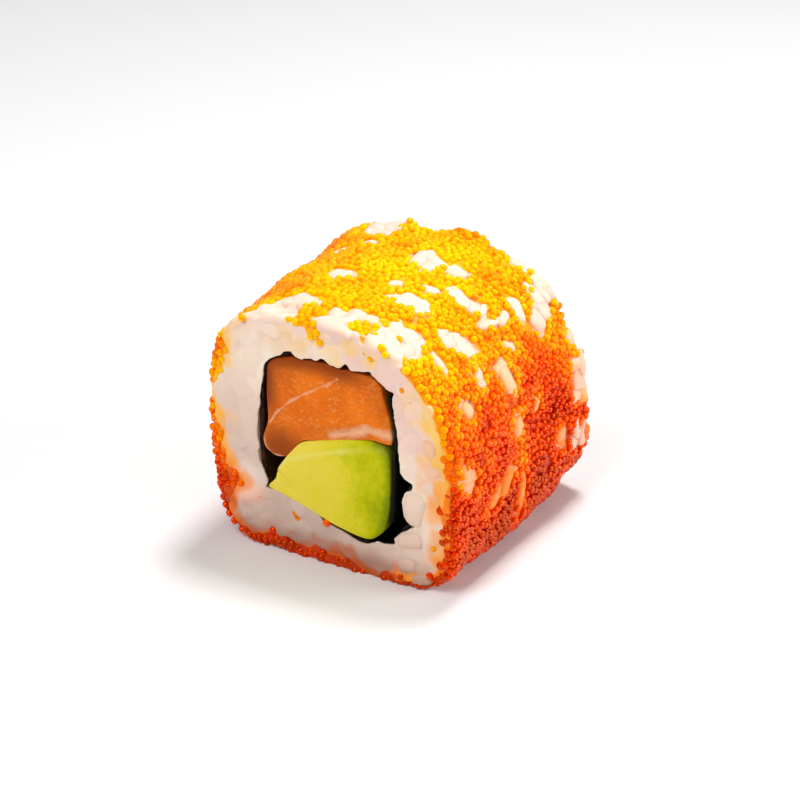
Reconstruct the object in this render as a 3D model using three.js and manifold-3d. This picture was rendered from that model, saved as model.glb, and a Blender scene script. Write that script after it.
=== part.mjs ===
// A masago roll: one piece of inside-out sushi, cut square at both ends.
// A ring of sticky rice, rolled in small fish roe, holds a tube of seaweed sheet,
// and the tube holds a bar of salmon over a wedge of avocado. All four run the
// whole length of the piece.
// Millimetres, +Z up. The roll lies along Y on its flat underside, and the cut face
// that is seen first looks along -Y.

import * as THREE from 'three';
import { mergeVertices } from 'three/addons/utils/BufferGeometryUtils.js';
import Module from 'manifold-3d';

const wasm = await Module();
wasm.setup();

// The piece as cut.
const LENGTH = 36;
const CENTRE_HEIGHT = 17;

// The rice under its roe: four superellipse quarters, which meet on the centre lines.
const REACH = { right: 18.2, left: 18.9, up: 19.3, down: 17.6 };
const SQUARENESS = { upRight: 2.25, upLeft: 3.1, downLeft: 4.8, downRight: 4.6 };
const LEAN = -0.06;
const REAR_WIDTH = 1.06;
const REAR_HEIGHT = 0.965;
const RIM_ROUND = 0.3;
const SWELLS = [[3, 4.2, 0.6, 0.2], [5, -6.1, 2.1, 0.15], [9, 8.3, 0, 0.1]];

// Roe: a close coat of eggs on the wall, and a few that stray onto the cut faces.
const EGG = 1.25;
const EGG_STANDS = 0.75;
const EGG_SPREAD = [0.85, 1.15];
const COLUMNS = 108;
const ROWS = 34;
const CLEAN_RIM = 1.2;
const CLEAN_TOP = 2.4;
const STRAY_EGGS = 14;
const STRAY_SPACING = 2.5;
const STRAY_STANDS = 0.85;

// Cooked rice.
const GRAIN = { length: 6.2, width: 3, thickness: 2.4 };
const GRAIN_PROFILE = [[0, -0.5], [0.4, -0.36], [0.5, 0], [0.4, 0.36], [0, 0.5]];
const GRAIN_SIDES = 5;
const GRAIN_SPREAD = [0.83, 1.15];
const WALL_GRAIN_STANDS = 0.8;
const FACE_GRAIN_STANDS = 0.5;
const FACE_GRAIN_INSET = 0.6;
const FACE_GRAINS = 34;
const FACE_SPACING = 3.7;
const FACE_DEPTHS = [1.5, 10];
const HOLE_MARGIN = 1.5;
const MOST_TRIES = 4000;

// Where the coat is thin and a grain shows: share of the way round from the right
// side over the top, distance from the front face, and the grain's heading.
const BARE_SPOTS = [
  [0.31, 31.5, 80], [0.338, 24.8, 20], [0.29, 15.4, 75], [0.229, 25.3, 60],
  [0.193, 25.1, 110], [0.2, 19.3, 70], [0.2, 13.3, 55], [0.157, 20.2, 70],
  [0.143, 28.8, 150], [0.121, 26.6, 140], [0.111, 32.2, 5], [0.127, 21.4, 120],
  [0.131, 12, 60], [0.078, 17.9, 100], [0.067, 34, 10], [0.011, 33.6, 175],
  [0.072, 6.2, 90], [0.01, 17.5, 5], [0.96, 28.8, 15], [0.943, 33.5, 170],
  [0.005, 3.6, 100], [0.96, 11.7, 55], [0.925, 18.2, 20], [0.925, 9.4, 60],
  [0.283, 4.6, 75], [0.225, 2.6, 60], [0.183, 3, 120], [0.15, 6.2, 45],
  [0.62, 9, 40], [0.56, 26, 100], [0.45, 15, 20], [0.41, 30, 150],
];
const BARE_RADIUS = 2.2;

// The seaweed tube's outer corners, seen from the front, from its lower left round.
// Two grains of the rice push it in at the lower right.
const SHEET_CORNERS = [
  [-11.4, 8.8], [-3.2, 6.9], [3.6, 4.3], [9.8, 5], [10.2, 8.2], [12.4, 9.9],
  [10.7, 12.8], [12, 16], [9.9, 19.5], [9.9, 28.4], [7.9, 31], [-6.2, 31.4],
  [-11.5, 28.8], [-12.1, 17],
];
const CORNER_SHARE = 0.35;
const CORNER_STEPS = 3;
const SHEET_THICKNESS = 0.45;
const SHEET_SHORT = 0.3;
const CLEARANCE = 0.2;
const SLIVER = 0.02;

// The fillings' corners, seen from the front.
const SALMON_CORNERS = [
  [-11, 16.4], [-8.8, 14.4], [-6.6, 16.8], [-5.4, 18], [0.6, 19.6], [5.2, 21.1],
  [9.2, 20.4], [9.2, 25], [8, 29.4], [2, 30.2], [-6.4, 30.6], [-10.8, 28.4],
];
const AVOCADO_CORNERS = [
  [-10.6, 9.5], [-4.2, 7.9], [1.6, 6], [6.4, 5.4], [8.6, 8], [9, 13.4],
  [9, 20.1], [4.9, 20.8], [-0.6, 19], [-5.8, 17.5], [-8.8, 13],
];
const FILLING_BEVEL = 0.6;

const SEEDS = { roe: 11, wallGrains: 23, frontGrains: 31, rearGrains: 41, strays: 57 };
const COLOURS = { rice: 0xf2e6da, nori: 0x14170f, salmon: 0xe2631c, avocado: 0xcfd040 };
const ROUGHNESS = { rice: 0.5, nori: 0.6, salmon: 0.35, avocado: 0.45 };

// A repeatable stream of numbers from 0 to 1.
function stream(seed) {
  let state = seed;
  return () => {
    state = (state + 0x6d2b79f5) | 0;
    let mixed = Math.imul(state ^ (state >>> 15), 1 | state);
    mixed = (mixed + Math.imul(mixed ^ (mixed >>> 7), 61 | mixed)) ^ mixed;
    return ((mixed ^ (mixed >>> 14)) >>> 0) / 4294967296;
  };
}

// A number between two limits, at random.
function between([low, high], random) {
  return low + (high - low) * random();
}

// Outline of the rice at the front face, as a closed curve that can be walked evenly.
function riceOutline() {
  const count = 240;
  const points = [];
  for (let i = 0; i < count; i++) {
    const c = Math.cos((2 * Math.PI * i) / count);
    const s = Math.sin((2 * Math.PI * i) / count);
    const power = s >= 0
      ? (c >= 0 ? SQUARENESS.upRight : SQUARENESS.upLeft)
      : (c >= 0 ? SQUARENESS.downRight : SQUARENESS.downLeft);
    const x = (c >= 0 ? REACH.right : REACH.left) * Math.sign(c) * Math.abs(c) ** (2 / power);
    const z = (s >= 0 ? REACH.up : REACH.down) * Math.sign(s) * Math.abs(s) ** (2 / power);
    points.push(new THREE.Vector3(x + LEAN * z, 0, z));
  }
  const curve = new THREE.CatmullRomCurve3(points, true);
  curve.arcLengthDivisions = 4 * count;
  return curve;
}

const outline = riceOutline();
const girth = outline.getLength();

// Low swells of the hand-rolled rice.
function swell(around, along) {
  return SWELLS.reduce((sum, [waves, twist, phase, height]) => sum +
    height * Math.sin(2 * Math.PI * waves * around + (twist * along) / LENGTH + phase), 0);
}

// A point of the wall with its outward normal and its direction round the roll.
function wall(around, along, lift) {
  const share = THREE.MathUtils.euclideanModulo(around, 1);
  const at = outline.getPointAt(share);
  const run = outline.getTangentAt(share);
  const out = new THREE.Vector3(run.z, 0, -run.x);
  const rearward = along / LENGTH;
  const widen = THREE.MathUtils.lerp(1, REAR_WIDTH, rearward);
  const lower = at.z > 0 ? THREE.MathUtils.lerp(1, REAR_HEIGHT, rearward) : 1;
  const point = new THREE.Vector3(at.x * widen, along - LENGTH / 2, CENTRE_HEIGHT + at.z * lower);
  return { point: point.addScaledVector(out, lift + swell(share, along)), out, run };
}

// Distance over the wall from a place to the nearest bare spot.
function toBareSpot(around, along) {
  return Math.min(...BARE_SPOTS.map(([spotAround, spotAlong]) => {
    const turn = Math.abs(THREE.MathUtils.euclideanModulo(around, 1) - spotAround);
    return Math.hypot(Math.min(turn, 1 - turn) * girth, along - spotAlong);
  }));
}

// A closed skin over rings of points, with a fan at each end.
function skin(rings) {
  const size = rings[0].length;
  const points = rings.flat();
  const faces = [];
  for (let row = 0; row + 1 < rings.length; row++) {
    for (let i = 0; i < size; i++) {
      const a = row * size + i;
      const b = row * size + ((i + 1) % size);
      faces.push(a, a + size, b, b, a + size, b + size);
    }
  }
  [rings[0], rings[rings.length - 1]].forEach((ring, end) => {
    const middle = points.length;
    const first = end * (rings.length - 1) * size;
    const centre = ring.reduce((sum, p) => sum.add(p), new THREE.Vector3());
    points.push(centre.divideScalar(size));
    for (let i = 0; i < size; i++) {
      const pair = [first + i, first + ((i + 1) % size)];
      faces.push(middle, ...(end ? pair.reverse() : pair));
    }
  });
  return new THREE.BufferGeometry().setFromPoints(points).setIndex(faces);
}

// True where roe covers the wall: not on the cut rims, where the front one is bare
// further back over the top, nor on the bare spots.
function isCoated(around, along) {
  const cleanFront = CLEAN_RIM + CLEAN_TOP * Math.max(0, Math.sin(2 * Math.PI * around));
  return along > cleanFront && along < LENGTH - CLEAN_RIM
    && toBareSpot(around, along) > BARE_RADIUS;
}

// The rice as one plug, before the fillings' hole. Each ring is turned half a step from
// the last, so that the wall is made of even triangles and every third point, raised,
// is an egg in a close pack.
function ricePlug() {
  const random = stream(SEEDS.roe);
  const rings = [];
  for (let row = 0; row <= ROWS; row++) {
    const ring = [];
    const along = (LENGTH * row) / ROWS;
    for (let i = 0; i < COLUMNS; i++) {
      const around = (i + row / 2) / COLUMNS;
      const isEgg = THREE.MathUtils.euclideanModulo(i - row, 3) === 0;
      let lift = row === 0 || row === ROWS ? -RIM_ROUND : 0;
      if (isEgg && isCoated(around, along)) lift = EGG_STANDS * between(EGG_SPREAD, random);
      ring.push(wall(around, along, lift).point);
    }
    rings.push(ring);
  }
  return skin(rings);
}

// The inside of the wall, drawn out past both cut faces.
function mould() {
  const places = [-GRAIN.length, 0, LENGTH, LENGTH + GRAIN.length];
  const shares = Array.from({ length: COLUMNS }, (_, i) => i / COLUMNS);
  return skin(places.map((along) =>
    shares.map((around) => wall(around, along, -FACE_GRAIN_INSET).point)));
}

// One blunt grain of rice, lying along heading with a flat of it to out.
function grain(centre, heading, out, size) {
  const profile = GRAIN_PROFILE.map(([x, y]) => new THREE.Vector2(x, y));
  const geometry = new THREE.LatheGeometry(profile, GRAIN_SIDES, -Math.PI / GRAIN_SIDES);
  geometry.scale(GRAIN.width * size, GRAIN.length * size, GRAIN.thickness * size);
  const side = new THREE.Vector3().crossVectors(heading, out).normalize();
  const turned = new THREE.Matrix4().makeBasis(side, heading, out);
  return geometry.applyMatrix4(turned.setPosition(centre));
}

// Grains that show on the wall, one at each bare spot, short of the cut faces.
function wallGrains() {
  const random = stream(SEEDS.wallGrains);
  return BARE_SPOTS.map(([around, along, degrees]) => {
    const size = between(GRAIN_SPREAD, random);
    const turn = THREE.MathUtils.degToRad(degrees);
    const halfLength = (GRAIN.length * size) / 2;
    const reach = Math.max(halfLength * Math.abs(Math.cos(turn)), GRAIN.width / 2);
    const place = THREE.MathUtils.clamp(along, reach, LENGTH - reach);
    const depth = WALL_GRAIN_STANDS - (GRAIN.thickness * size) / 2;
    const { point, out, run } = wall(around, place, depth);
    const heading = new THREE.Vector3(0, Math.cos(turn), 0)
      .addScaledVector(run, Math.sin(turn));
    return grain(point, heading, out, size);
  });
}

// True where a place lies inside a closed loop of points.
function inside(loop, x, z) {
  let within = false;
  loop.forEach((p, i) => {
    const q = loop[(i + 1) % loop.length];
    const crosses = (p.y > z) !== (q.y > z);
    if (crosses && x < p.x + ((q.x - p.x) * (z - p.y)) / (q.y - p.y)) within = !within;
  });
  return within;
}

// Places on a cut face between the wall and the seaweed, a spacing apart.
function facePlaces(count, spacing, seed, along, loop) {
  const random = stream(seed);
  const places = [];
  for (let tries = 0; places.length < count && tries < MOST_TRIES; tries++) {
    const depth = between(FACE_DEPTHS, random);
    const { point } = wall(random(), along, -depth);
    const clear = loop.every((p) => Math.hypot(p.x - point.x, p.y - point.z) > HOLE_MARGIN);
    const apart = places.every((p) => p.distanceTo(point) > spacing);
    if (clear && apart && !inside(loop, point.x, point.z)) places.push(point);
  }
  return places;
}

// Grains cut across at one face, at every heading.
function faceGrains(end, seed, loop) {
  const random = stream(seed);
  const out = new THREE.Vector3(0, end, 0);
  const along = end < 0 ? 0 : LENGTH;
  return facePlaces(FACE_GRAINS, FACE_SPACING, seed + 1, along, loop).map((point) => {
    const turn = 2 * Math.PI * random();
    const heading = new THREE.Vector3(Math.cos(turn), 0, Math.sin(turn));
    const size = between(GRAIN_SPREAD, random);
    point.addScaledVector(out, FACE_GRAIN_STANDS - (GRAIN.thickness * size) / 2);
    return grain(point, heading, out, size);
  });
}

// Single eggs that cling to the front face.
function strayEggs(loop) {
  return facePlaces(STRAY_EGGS, STRAY_SPACING, SEEDS.strays, 0, loop).map((point) => {
    const egg = new THREE.IcosahedronGeometry(EGG / 2, 0);
    return egg.translate(point.x, point.y + EGG / 2 - STRAY_STANDS, point.z);
  });
}

// A loop through corners, each rounded off by a curve of its own.
function roundedLoop(corners) {
  const size = corners.length;
  const at = (i) => new THREE.Vector2(...corners[(i + size) % size]);
  const shape = new THREE.Shape();
  corners.forEach((corner, i) => {
    const before = at(i).lerp(at(i - 1), CORNER_SHARE);
    const after = at(i).lerp(at(i + 1), CORNER_SHARE);
    if (i === 0) shape.moveTo(before.x, before.y);
    else shape.lineTo(before.x, before.y);
    shape.quadraticCurveTo(...corner, after.x, after.y);
  });
  return shape.getPoints(CORNER_STEPS);
}

// The same loop moved inwards by a distance, or outwards by a negative one.
function inset(loop, distance) {
  return loop.map((p, i) => {
    const before = loop[(i + loop.length - 1) % loop.length];
    const after = loop[(i + 1) % loop.length];
    const run = new THREE.Vector2().subVectors(after, before).normalize();
    return new THREE.Vector2(p.x - run.y * distance, p.y + run.x * distance);
  });
}

// A loop of the section drawn out along the roll, with its cut edges eased.
function bar(loop, length, holes = [], bevel = 0) {
  const shape = new THREE.Shape(loop);
  shape.holes = holes.map((hole) => new THREE.Path(hole));
  const depth = length - 2 * bevel;
  const geometry = new THREE.ExtrudeGeometry(shape, {
    depth,
    bevelEnabled: bevel > 0,
    bevelThickness: bevel,
    bevelSize: bevel,
    bevelOffset: -bevel,
    bevelSegments: 2,
  });
  return geometry.rotateX(Math.PI / 2).translate(0, depth / 2, 0);
}

// A closed geometry as a solid that can be joined and cut.
function solid(geometry) {
  geometry.deleteAttribute('normal');
  geometry.deleteAttribute('uv');
  const merged = mergeVertices(geometry);
  return new wasm.Manifold(new wasm.Mesh({
    numProp: 3,
    vertProperties: merged.getAttribute('position').array,
    triVerts: new Uint32Array(merged.index.array),
  }));
}

// A solid back as a geometry.
function geometryOf(made) {
  const { vertProperties, triVerts } = made.getMesh();
  return new THREE.BufferGeometry()
    .setAttribute('position', new THREE.BufferAttribute(vertProperties, 3))
    .setIndex(new THREE.BufferAttribute(triVerts, 1));
}

// The ring of rice with its grains and roe, holed for the seaweed and flat underneath.
function riceRing(sheetLoop) {
  const hole = inset(sheetLoop, -CLEARANCE);
  const front = faceGrains(-1, SEEDS.frontGrains, hole);
  const rear = faceGrains(1, SEEDS.rearGrains, hole);
  const kept = solid(mould());
  const pieces = [
    ...[...front, ...rear].map((piece) => solid(piece).intersect(kept)),
    ...[...wallGrains(), ...strayEggs(hole)].map((piece) => solid(piece)),
  ];
  const joined = pieces.reduce((sum, piece) => sum.add(piece), solid(ricePlug()));
  const floor = new THREE.BoxGeometry(3 * LENGTH, 3 * LENGTH, LENGTH);
  floor.translate(0, 0, -LENGTH / 2);
  const cut = joined.subtract(solid(bar(hole, 2 * LENGTH))).subtract(solid(floor));
  const [largest] = cut.decompose().sort((a, b) => b.volume() - a.volume());
  return geometryOf(largest.simplify(SLIVER));
}

function part(name, geometry) {
  const look = { color: COLOURS[name], roughness: ROUGHNESS[name], flatShading: true };
  const mesh = new THREE.Mesh(geometry, new THREE.MeshStandardMaterial(look));
  mesh.name = name;
  return mesh;
}

const sheetLoop = roundedLoop(SHEET_CORNERS);
const sheetLining = inset(sheetLoop, SHEET_THICKNESS);
const roll = new THREE.Group();
roll.add(
  part('rice', riceRing(sheetLoop)),
  part('nori', bar(sheetLoop, LENGTH - 2 * SHEET_SHORT, [sheetLining])),
  part('salmon', bar(roundedLoop(SALMON_CORNERS), LENGTH, [], FILLING_BEVEL)),
  part('avocado', bar(roundedLoop(AVOCADO_CORNERS), LENGTH, [], FILLING_BEVEL)),
);

// Stand the roll over the origin.
const bounds = new THREE.Box3().setFromObject(roll);
const middle = bounds.getCenter(new THREE.Vector3());
roll.position.set(-middle.x, -middle.y, -bounds.min.z);

export default roll;
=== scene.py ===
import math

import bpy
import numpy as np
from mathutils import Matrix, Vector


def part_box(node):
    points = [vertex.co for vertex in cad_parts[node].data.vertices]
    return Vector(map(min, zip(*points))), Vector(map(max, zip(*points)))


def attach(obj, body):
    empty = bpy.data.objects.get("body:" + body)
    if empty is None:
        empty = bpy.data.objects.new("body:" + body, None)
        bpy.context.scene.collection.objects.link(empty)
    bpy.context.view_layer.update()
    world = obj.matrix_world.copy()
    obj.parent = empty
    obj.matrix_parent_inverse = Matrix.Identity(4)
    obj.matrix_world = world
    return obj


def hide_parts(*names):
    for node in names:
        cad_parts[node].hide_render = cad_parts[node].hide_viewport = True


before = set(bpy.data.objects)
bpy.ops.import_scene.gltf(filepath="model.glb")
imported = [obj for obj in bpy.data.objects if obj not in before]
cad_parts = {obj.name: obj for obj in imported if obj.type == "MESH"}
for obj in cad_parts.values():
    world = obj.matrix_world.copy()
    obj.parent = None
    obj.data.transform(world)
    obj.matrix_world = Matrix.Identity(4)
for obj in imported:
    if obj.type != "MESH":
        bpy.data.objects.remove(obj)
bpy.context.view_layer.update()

# A masago roll: sticky rice rolled in small fish roe, round a seaweed tube that holds
# salmon and avocado. Places are in millimetres and in the section's own frame, as the
# solids are drawn: x to the right of the front cut face, y along the roll from the
# middle of its length, z up from its underside. A place on the wall is given by its
# share of the way round, from the right side over the top, and by its distance along
# from the front face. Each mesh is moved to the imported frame, in metres, as it is made.

MM = 0.001
LENGTH = 36.0
HALF = LENGTH / 2
CENTRE_HEIGHT = 17.0

# The rice under its roe, as four superellipse quarters.
REACH = {"right": 18.2, "left": 18.9, "up": 19.3, "down": 17.6}
SQUARENESS = {"up_right": 2.25, "up_left": 3.1, "down_left": 4.8, "down_right": 4.6}

# How far the section leans, and its width and height at the rear face.
LEAN = -0.06
REAR_WIDTH = 1.06
REAR_HEIGHT = 0.965

# Low waves of the wall: their number, twist along the roll, phase and height.
SWELLS = [(3, 4.2, 0.6, 0.2), (5, -6.1, 2.1, 0.15), (9, 8.3, 0.0, 0.1)]

# How far the left side bulges past those quarters, along the way round.
BULGE = [
    (0.40, 0.0), (0.45, 0.4), (0.48, 0.8), (0.505, 1.1), (0.535, 0.8), (0.57, 0.6),
    (0.61, 0.45), (0.635, 0.4), (0.66, 0.0),
]

# Where the wall bulges out or sinks in: share round, distance along, how far the bulge
# reaches both ways, and its height.
BULGES = [
    (0.955, 36.0, 0.065, 18.0, 1.4), (0.025, 36.0, 0.045, 16.0, 1.1),
    (0.880, 36.0, 0.032, 9.0, -0.9), (0.885, 21.0, 0.040, 14.0, 0.4),
    (0.115, 36.0, 0.030, 10.0, 0.5),
    (0.176, 36.0, 0.030, 10.0, -0.5), (0.222, 36.0, 0.025, 9.0, 0.7),
    (0.288, 36.0, 0.025, 9.0, 0.6), (0.361, 31.0, 0.040, 9.0, 0.7),
    (0.361, 16.0, 0.040, 11.0, 0.95),
]

# The seaweed tube's outer corners.
SHEET_CORNERS = [
    (-11.4, 8.8), (-3.2, 6.9), (3.6, 4.3), (9.8, 5.0), (10.2, 8.2), (12.4, 9.9),
    (10.7, 12.8), (12.0, 16.0), (9.9, 19.5), (9.9, 28.4), (7.9, 31.0), (-6.2, 31.4),
    (-11.5, 28.8), (-12.1, 17.0),
]

# Its thickness, how far short of both faces it ends, and its gap to the rice.
SHEET_THICKNESS = 0.45
SHEET_SHORT = 0.6
CLEARANCE = 0.2

# The sheet's inner end, from its top down. It lies against the avocado's right side and darkens
# the gap there: partly the sheet's own end, partly a dark sheet standing for shade.
FLAP = [
    (8.1, 27.9), (8.3, 26.4), (8.86, 24.4), (9.12, 22.6), (9.12, 21.0), (8.86, 18.6),
    (8.84, 15.4), (8.72, 12.4), (8.64, 10.6), (8.3, 8.6),
]
FLAP_THICKNESS = 0.24
FLAP_SHORT = 0.3

# The middle of the hole.
HEART = (-0.5, 18.0)

# The fillings' corners, and the places that their cut faces' rows close in on.
SALMON_CORNERS = [
    (-11.4, 17.0), (-11.1, 15.4), (-9.4, 14.4), (-7.2, 14.9), (-5.6, 17.8), (-2.0, 18.75),
    (2.4, 19.9), (5.6, 20.85), (7.6, 20.7), (8.7, 20.8), (8.4, 24.2), (7.5, 27.0),
    (6.9, 29.4), (4.6, 30.3), (0.6, 30.2), (-2.0, 30.5), (-6.0, 30.2), (-9.2, 29.5),
    (-10.6, 28.2), (-10.7, 23.4), (-10.5, 19.6),
]
SALMON_HEART = (-1.8, 23.6)
AVOCADO_CORNERS = [
    (-10.9, 9.4), (-7.4, 8.7), (-4.4, 7.8), (-0.8, 6.5), (3.1, 5.6), (5.6, 5.6),
    (7.6, 7.4), (8.3, 10.8), (8.5, 15.6), (8.4, 19.2), (7.5, 20.5), (4.8, 20.7),
    (1.6, 19.95), (-2.0, 18.85), (-5.6, 17.6), (-7.6, 15.0), (-9.1, 12.7), (-9.3, 11.1),
]
AVOCADO_HEART = (1.0, 13.4)
AVOCADO_RIDGE = [
    (-8.6, 13.2), (-7.4, 14.6), (-4.8, 15.7), (-1.7, 17.0), (1.6, 18.2), (4.4, 19.2),
    (6.9, 19.9), (8.2, 19.8),
]
AVOCADO_NICK = [(-8.9, 12.2), (-6.9, 10.6)]

# Where the rice's front face ends at the hole. It laps a little over the seaweed.
LIP_CORNERS = [
    (-12.2, 13.5), (-12.0, 14.6), (-11.8, 15.7), (-12.2, 17.2), (-12.0, 19.7), (-11.7, 21.9),
    (-11.5, 24.0), (-11.1, 26.3), (-10.8, 28.1), (-9.9, 29.2), (-8.4, 30.1), (-7.5, 31.0),
    (-6.8, 31.4), (-6.2, 31.3), (-6.4, 30.7), (-5.5, 30.4), (-3.2, 30.7), (-2.2, 31.1),
    (-1.2, 31.2), (-0.4, 30.5), (0.9, 30.5), (1.9, 31.4), (2.7, 30.6), (4.3, 30.9),
    (5.5, 31.1), (5.8, 30.6), (6.9, 30.1), (7.9, 29.0), (9.1, 28.9), (8.8, 28.0),
    (9.0, 26.4), (9.3, 24.6), (9.6, 22.4), (9.8, 20.0), (10.1, 17.2), (10.7, 16.3),
    (11.9, 16.2), (12.3, 15.1), (10.7, 14.4), (10.3, 12.8), (10.6, 11.2), (11.9, 9.9),
    (12.9, 9.5), (11.6, 8.6), (9.6, 7.7), (9.1, 6.8), (9.4, 6.1), (8.9, 5.7),
    (6.2, 5.5), (4.3, 4.5), (3.0, 5.0), (0.4, 5.8), (-2.0, 6.4), (-2.6, 7.2),
    (-4.2, 7.8), (-6.2, 8.4), (-8.9, 9.1), (-11.0, 9.3), (-10.6, 10.2), (-11.3, 12.2),
]

# The salmon's two lines of fat, its pale lower hem, and the middles of its two dark parts: the
# lower lobe, and the top-left corner, whose darkness is painted shade.
SALMON_FAT = [
    [(-10.2, 19.5), (-9.2, 21.2), (-7.3, 23.1), (-5.8, 24.4), (-4.2, 25.5), (-2.6, 26.6),
     (-0.9, 27.6), (0.5, 28.7)],
    [(-0.6, 20.0), (2.4, 21.1), (5.0, 22.4), (6.9, 22.2), (9.0, 22.2)],
]
SALMON_HEM = [(-11.3, 17.2), (-11.0, 15.8), (-9.8, 14.7), (-8.2, 14.7)]
SALMON_LOBE = (-8.6, 16.0)
SALMON_TOP = (-11.5, 30.0)

# Patches of bare rice on the wall: share round, distance along, heading from the
# roll's length, length and width. The photograph shows the first group.
PATCHES = [
    (0.314, 33.2, 95, 5.4, 5.2), (0.306, 27.4, 137, 2.0, 1.6), (0.338, 24.8, 120, 2.6, 1.6),
    (0.288, 14.9, 137, 3.4, 2.2), (0.228, 16.1, 126, 2.0, 1.4),
    (0.199, 13.3, 104, 5.2, 3.6), (0.229, 25.1, 62, 5.8, 4.4), (0.193, 25.1, 104, 3.2, 2.0),
    (0.160, 20.2, 126, 5.2, 2.8), (0.141, 21.4, 27, 3.2, 1.1), (0.125, 20.9, 162, 5.0, 1.2),
    (0.121, 23.4, 12, 3.3, 1.3), (0.119, 26.9, 76, 3.6, 2.0), (0.106, 31.3, 51, 6.5, 2.9),
    (0.131, 12.7, 126, 6.4, 3.5), (0.094, 21.1, 145, 2.4, 1.4), (0.071, 17.6, 119, 4.5, 3.2),
    (0.089, 12.0, 59, 3.1, 1.9), (0.125, 6.7, 94, 3.6, 1.4), (0.056, 35.4, 95, 2.4, 2.4),
    (0.018, 34.4, 95, 4.4, 3.8), (0.995, 34.4, 88, 3.4, 4.4), (0.944, 33.2, 75, 4.4, 5.2),
    (0.961, 28.5, 85, 2.6, 2.4), (0.067, 6.8, 132, 2.6, 2.0), (0.008, 17.7, 81, 3.4, 2.3),
    (0.954, 12.5, 23, 7.6, 2.3), (0.931, 17.8, 84, 6.0, 1.7), (0.999, 3.1, 136, 5.0, 2.6),
    (0.184, 3.4, 2, 7.0, 2.6), (0.219, 5.2, 100, 4.4, 2.0), (0.157, 5.3, 25, 6.4, 3.2),
    (0.294, 6.0, 120, 4.0, 3.0), (0.019, 23.2, 103, 1.8, 1.4), (0.120, 34.2, 75, 4.0, 2.4),
    (0.195, 18.2, 110, 2.6, 1.6),
    # Mostly on the sides that the photograph doesn't show.
    (0.620, 9.0, 40, 4.6, 2.8), (0.560, 26.0, 100, 5.0, 3.0), (0.450, 15.0, 20, 4.2, 2.6),
    (0.410, 30.0, 150, 5.2, 3.2), (0.480, 7.0, 95, 3.0, 1.8), (0.520, 16.5, 140, 3.8, 2.0),
    (0.435, 23.0, 60, 2.8, 1.8), (0.580, 33.4, 80, 4.4, 2.6), (0.380, 10.5, 75, 3.0, 1.8),
    (0.370, 34.4, 95, 4.0, 2.4), (0.500, 30.6, 30, 2.6, 1.8), (0.690, 20.0, 65, 4.6, 2.4),
    (0.790, 9.0, 110, 4.2, 2.6), (0.740, 30.0, 20, 5.0, 2.8), (0.860, 24.0, 130, 4.4, 2.4),
    (0.900, 31.0, 100, 3.2, 2.0), (0.880, 5.5, 60, 3.0, 2.0), (0.158, 35.0, 95, 3.0, 1.8),
    (0.640, 29.0, 120, 3.2, 2.0), (0.400, 19.4, 110, 2.2, 1.5),
]

# How far from the front face the roe starts, along the way round. Below zero it comes
# over the rim onto the face.
COAT_FRONT = [
    (0.000, -1.4), (0.022, -1.4), (0.043, -1.5), (0.068, -0.9), (0.085, -0.1), (0.095, 0.4),
    (0.108, -0.1), (0.125, -1.1), (0.140, -0.4), (0.149, 0.6), (0.160, 2.4), (0.186, 2.8),
    (0.190, 0.0), (0.200, 0.5), (0.213, 1.0), (0.222, 2.6), (0.228, 5.0), (0.254, 5.4),
    (0.258, 2.0), (0.262, 0.2), (0.280, 0.2), (0.285, 2.2), (0.292, 6.8), (0.298, 8.4),
    (0.304, 8.2), (0.312, 6.8), (0.326, 5.5), (0.333, 3.2), (0.341, 2.0), (0.348, 1.8),
    (0.352, 2.0), (0.365, 2.2), (0.378, 1.6), (0.384, -0.2), (0.390, -2.0), (0.407, -1.6),
    (0.425, -1.2), (0.440, -0.8), (0.448, 0.3), (0.460, 0.2), (0.468, -0.9), (0.497, -1.6),
    (0.517, -1.5), (0.543, -1.9), (0.551, -3.4), (0.564, -4.0), (0.579, -3.0), (0.592, -1.2),
    (0.619, -1.2), (0.649, -2.2), (0.671, -2.7), (0.697, -2.9), (0.715, -2.8), (0.756, -2.7),
    (0.775, -1.8), (0.787, -1.2), (0.806, -1.7), (0.822, -2.2), (0.836, -1.0), (0.850, -0.9),
    (0.860, -1.4), (0.871, -1.8), (0.896, -2.4), (0.913, -2.6), (0.926, -2.3), (0.944, -2.6),
    (0.957, -2.9), (0.981, -2.3),
]

# How warm the roe looks, from yellow 0 to deep red 1, along the way round. It is painted light
# and shade: yellow on the lit top, deeper red down the shaded sides and underside.
PAINTED_LIGHT_WARMTH = [
    (0.00, 0.76), (0.05, 0.58), (0.09, 0.43), (0.13, 0.29), (0.17, 0.25), (0.22, 0.18),
    (0.28, 0.20), (0.34, 0.30), (0.38, 0.46), (0.42, 0.52), (0.48, 0.60), (0.55, 0.70),
    (0.62, 0.86), (0.70, 1.00), (0.80, 1.00), (0.88, 0.98), (0.94, 0.88),
]

# Drips of roe down the front face: place, half sizes and tilt.
DRIPS = [
    (-5.2, 36.6, 1.5, 1.4, 0), (-3.4, 35.4, 0.9, 1.9, 30), (3.6, 37.0, 1.3, 1.0, 0),
    (4.6, 36.2, 0.9, 1.2, 0),
]

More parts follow.
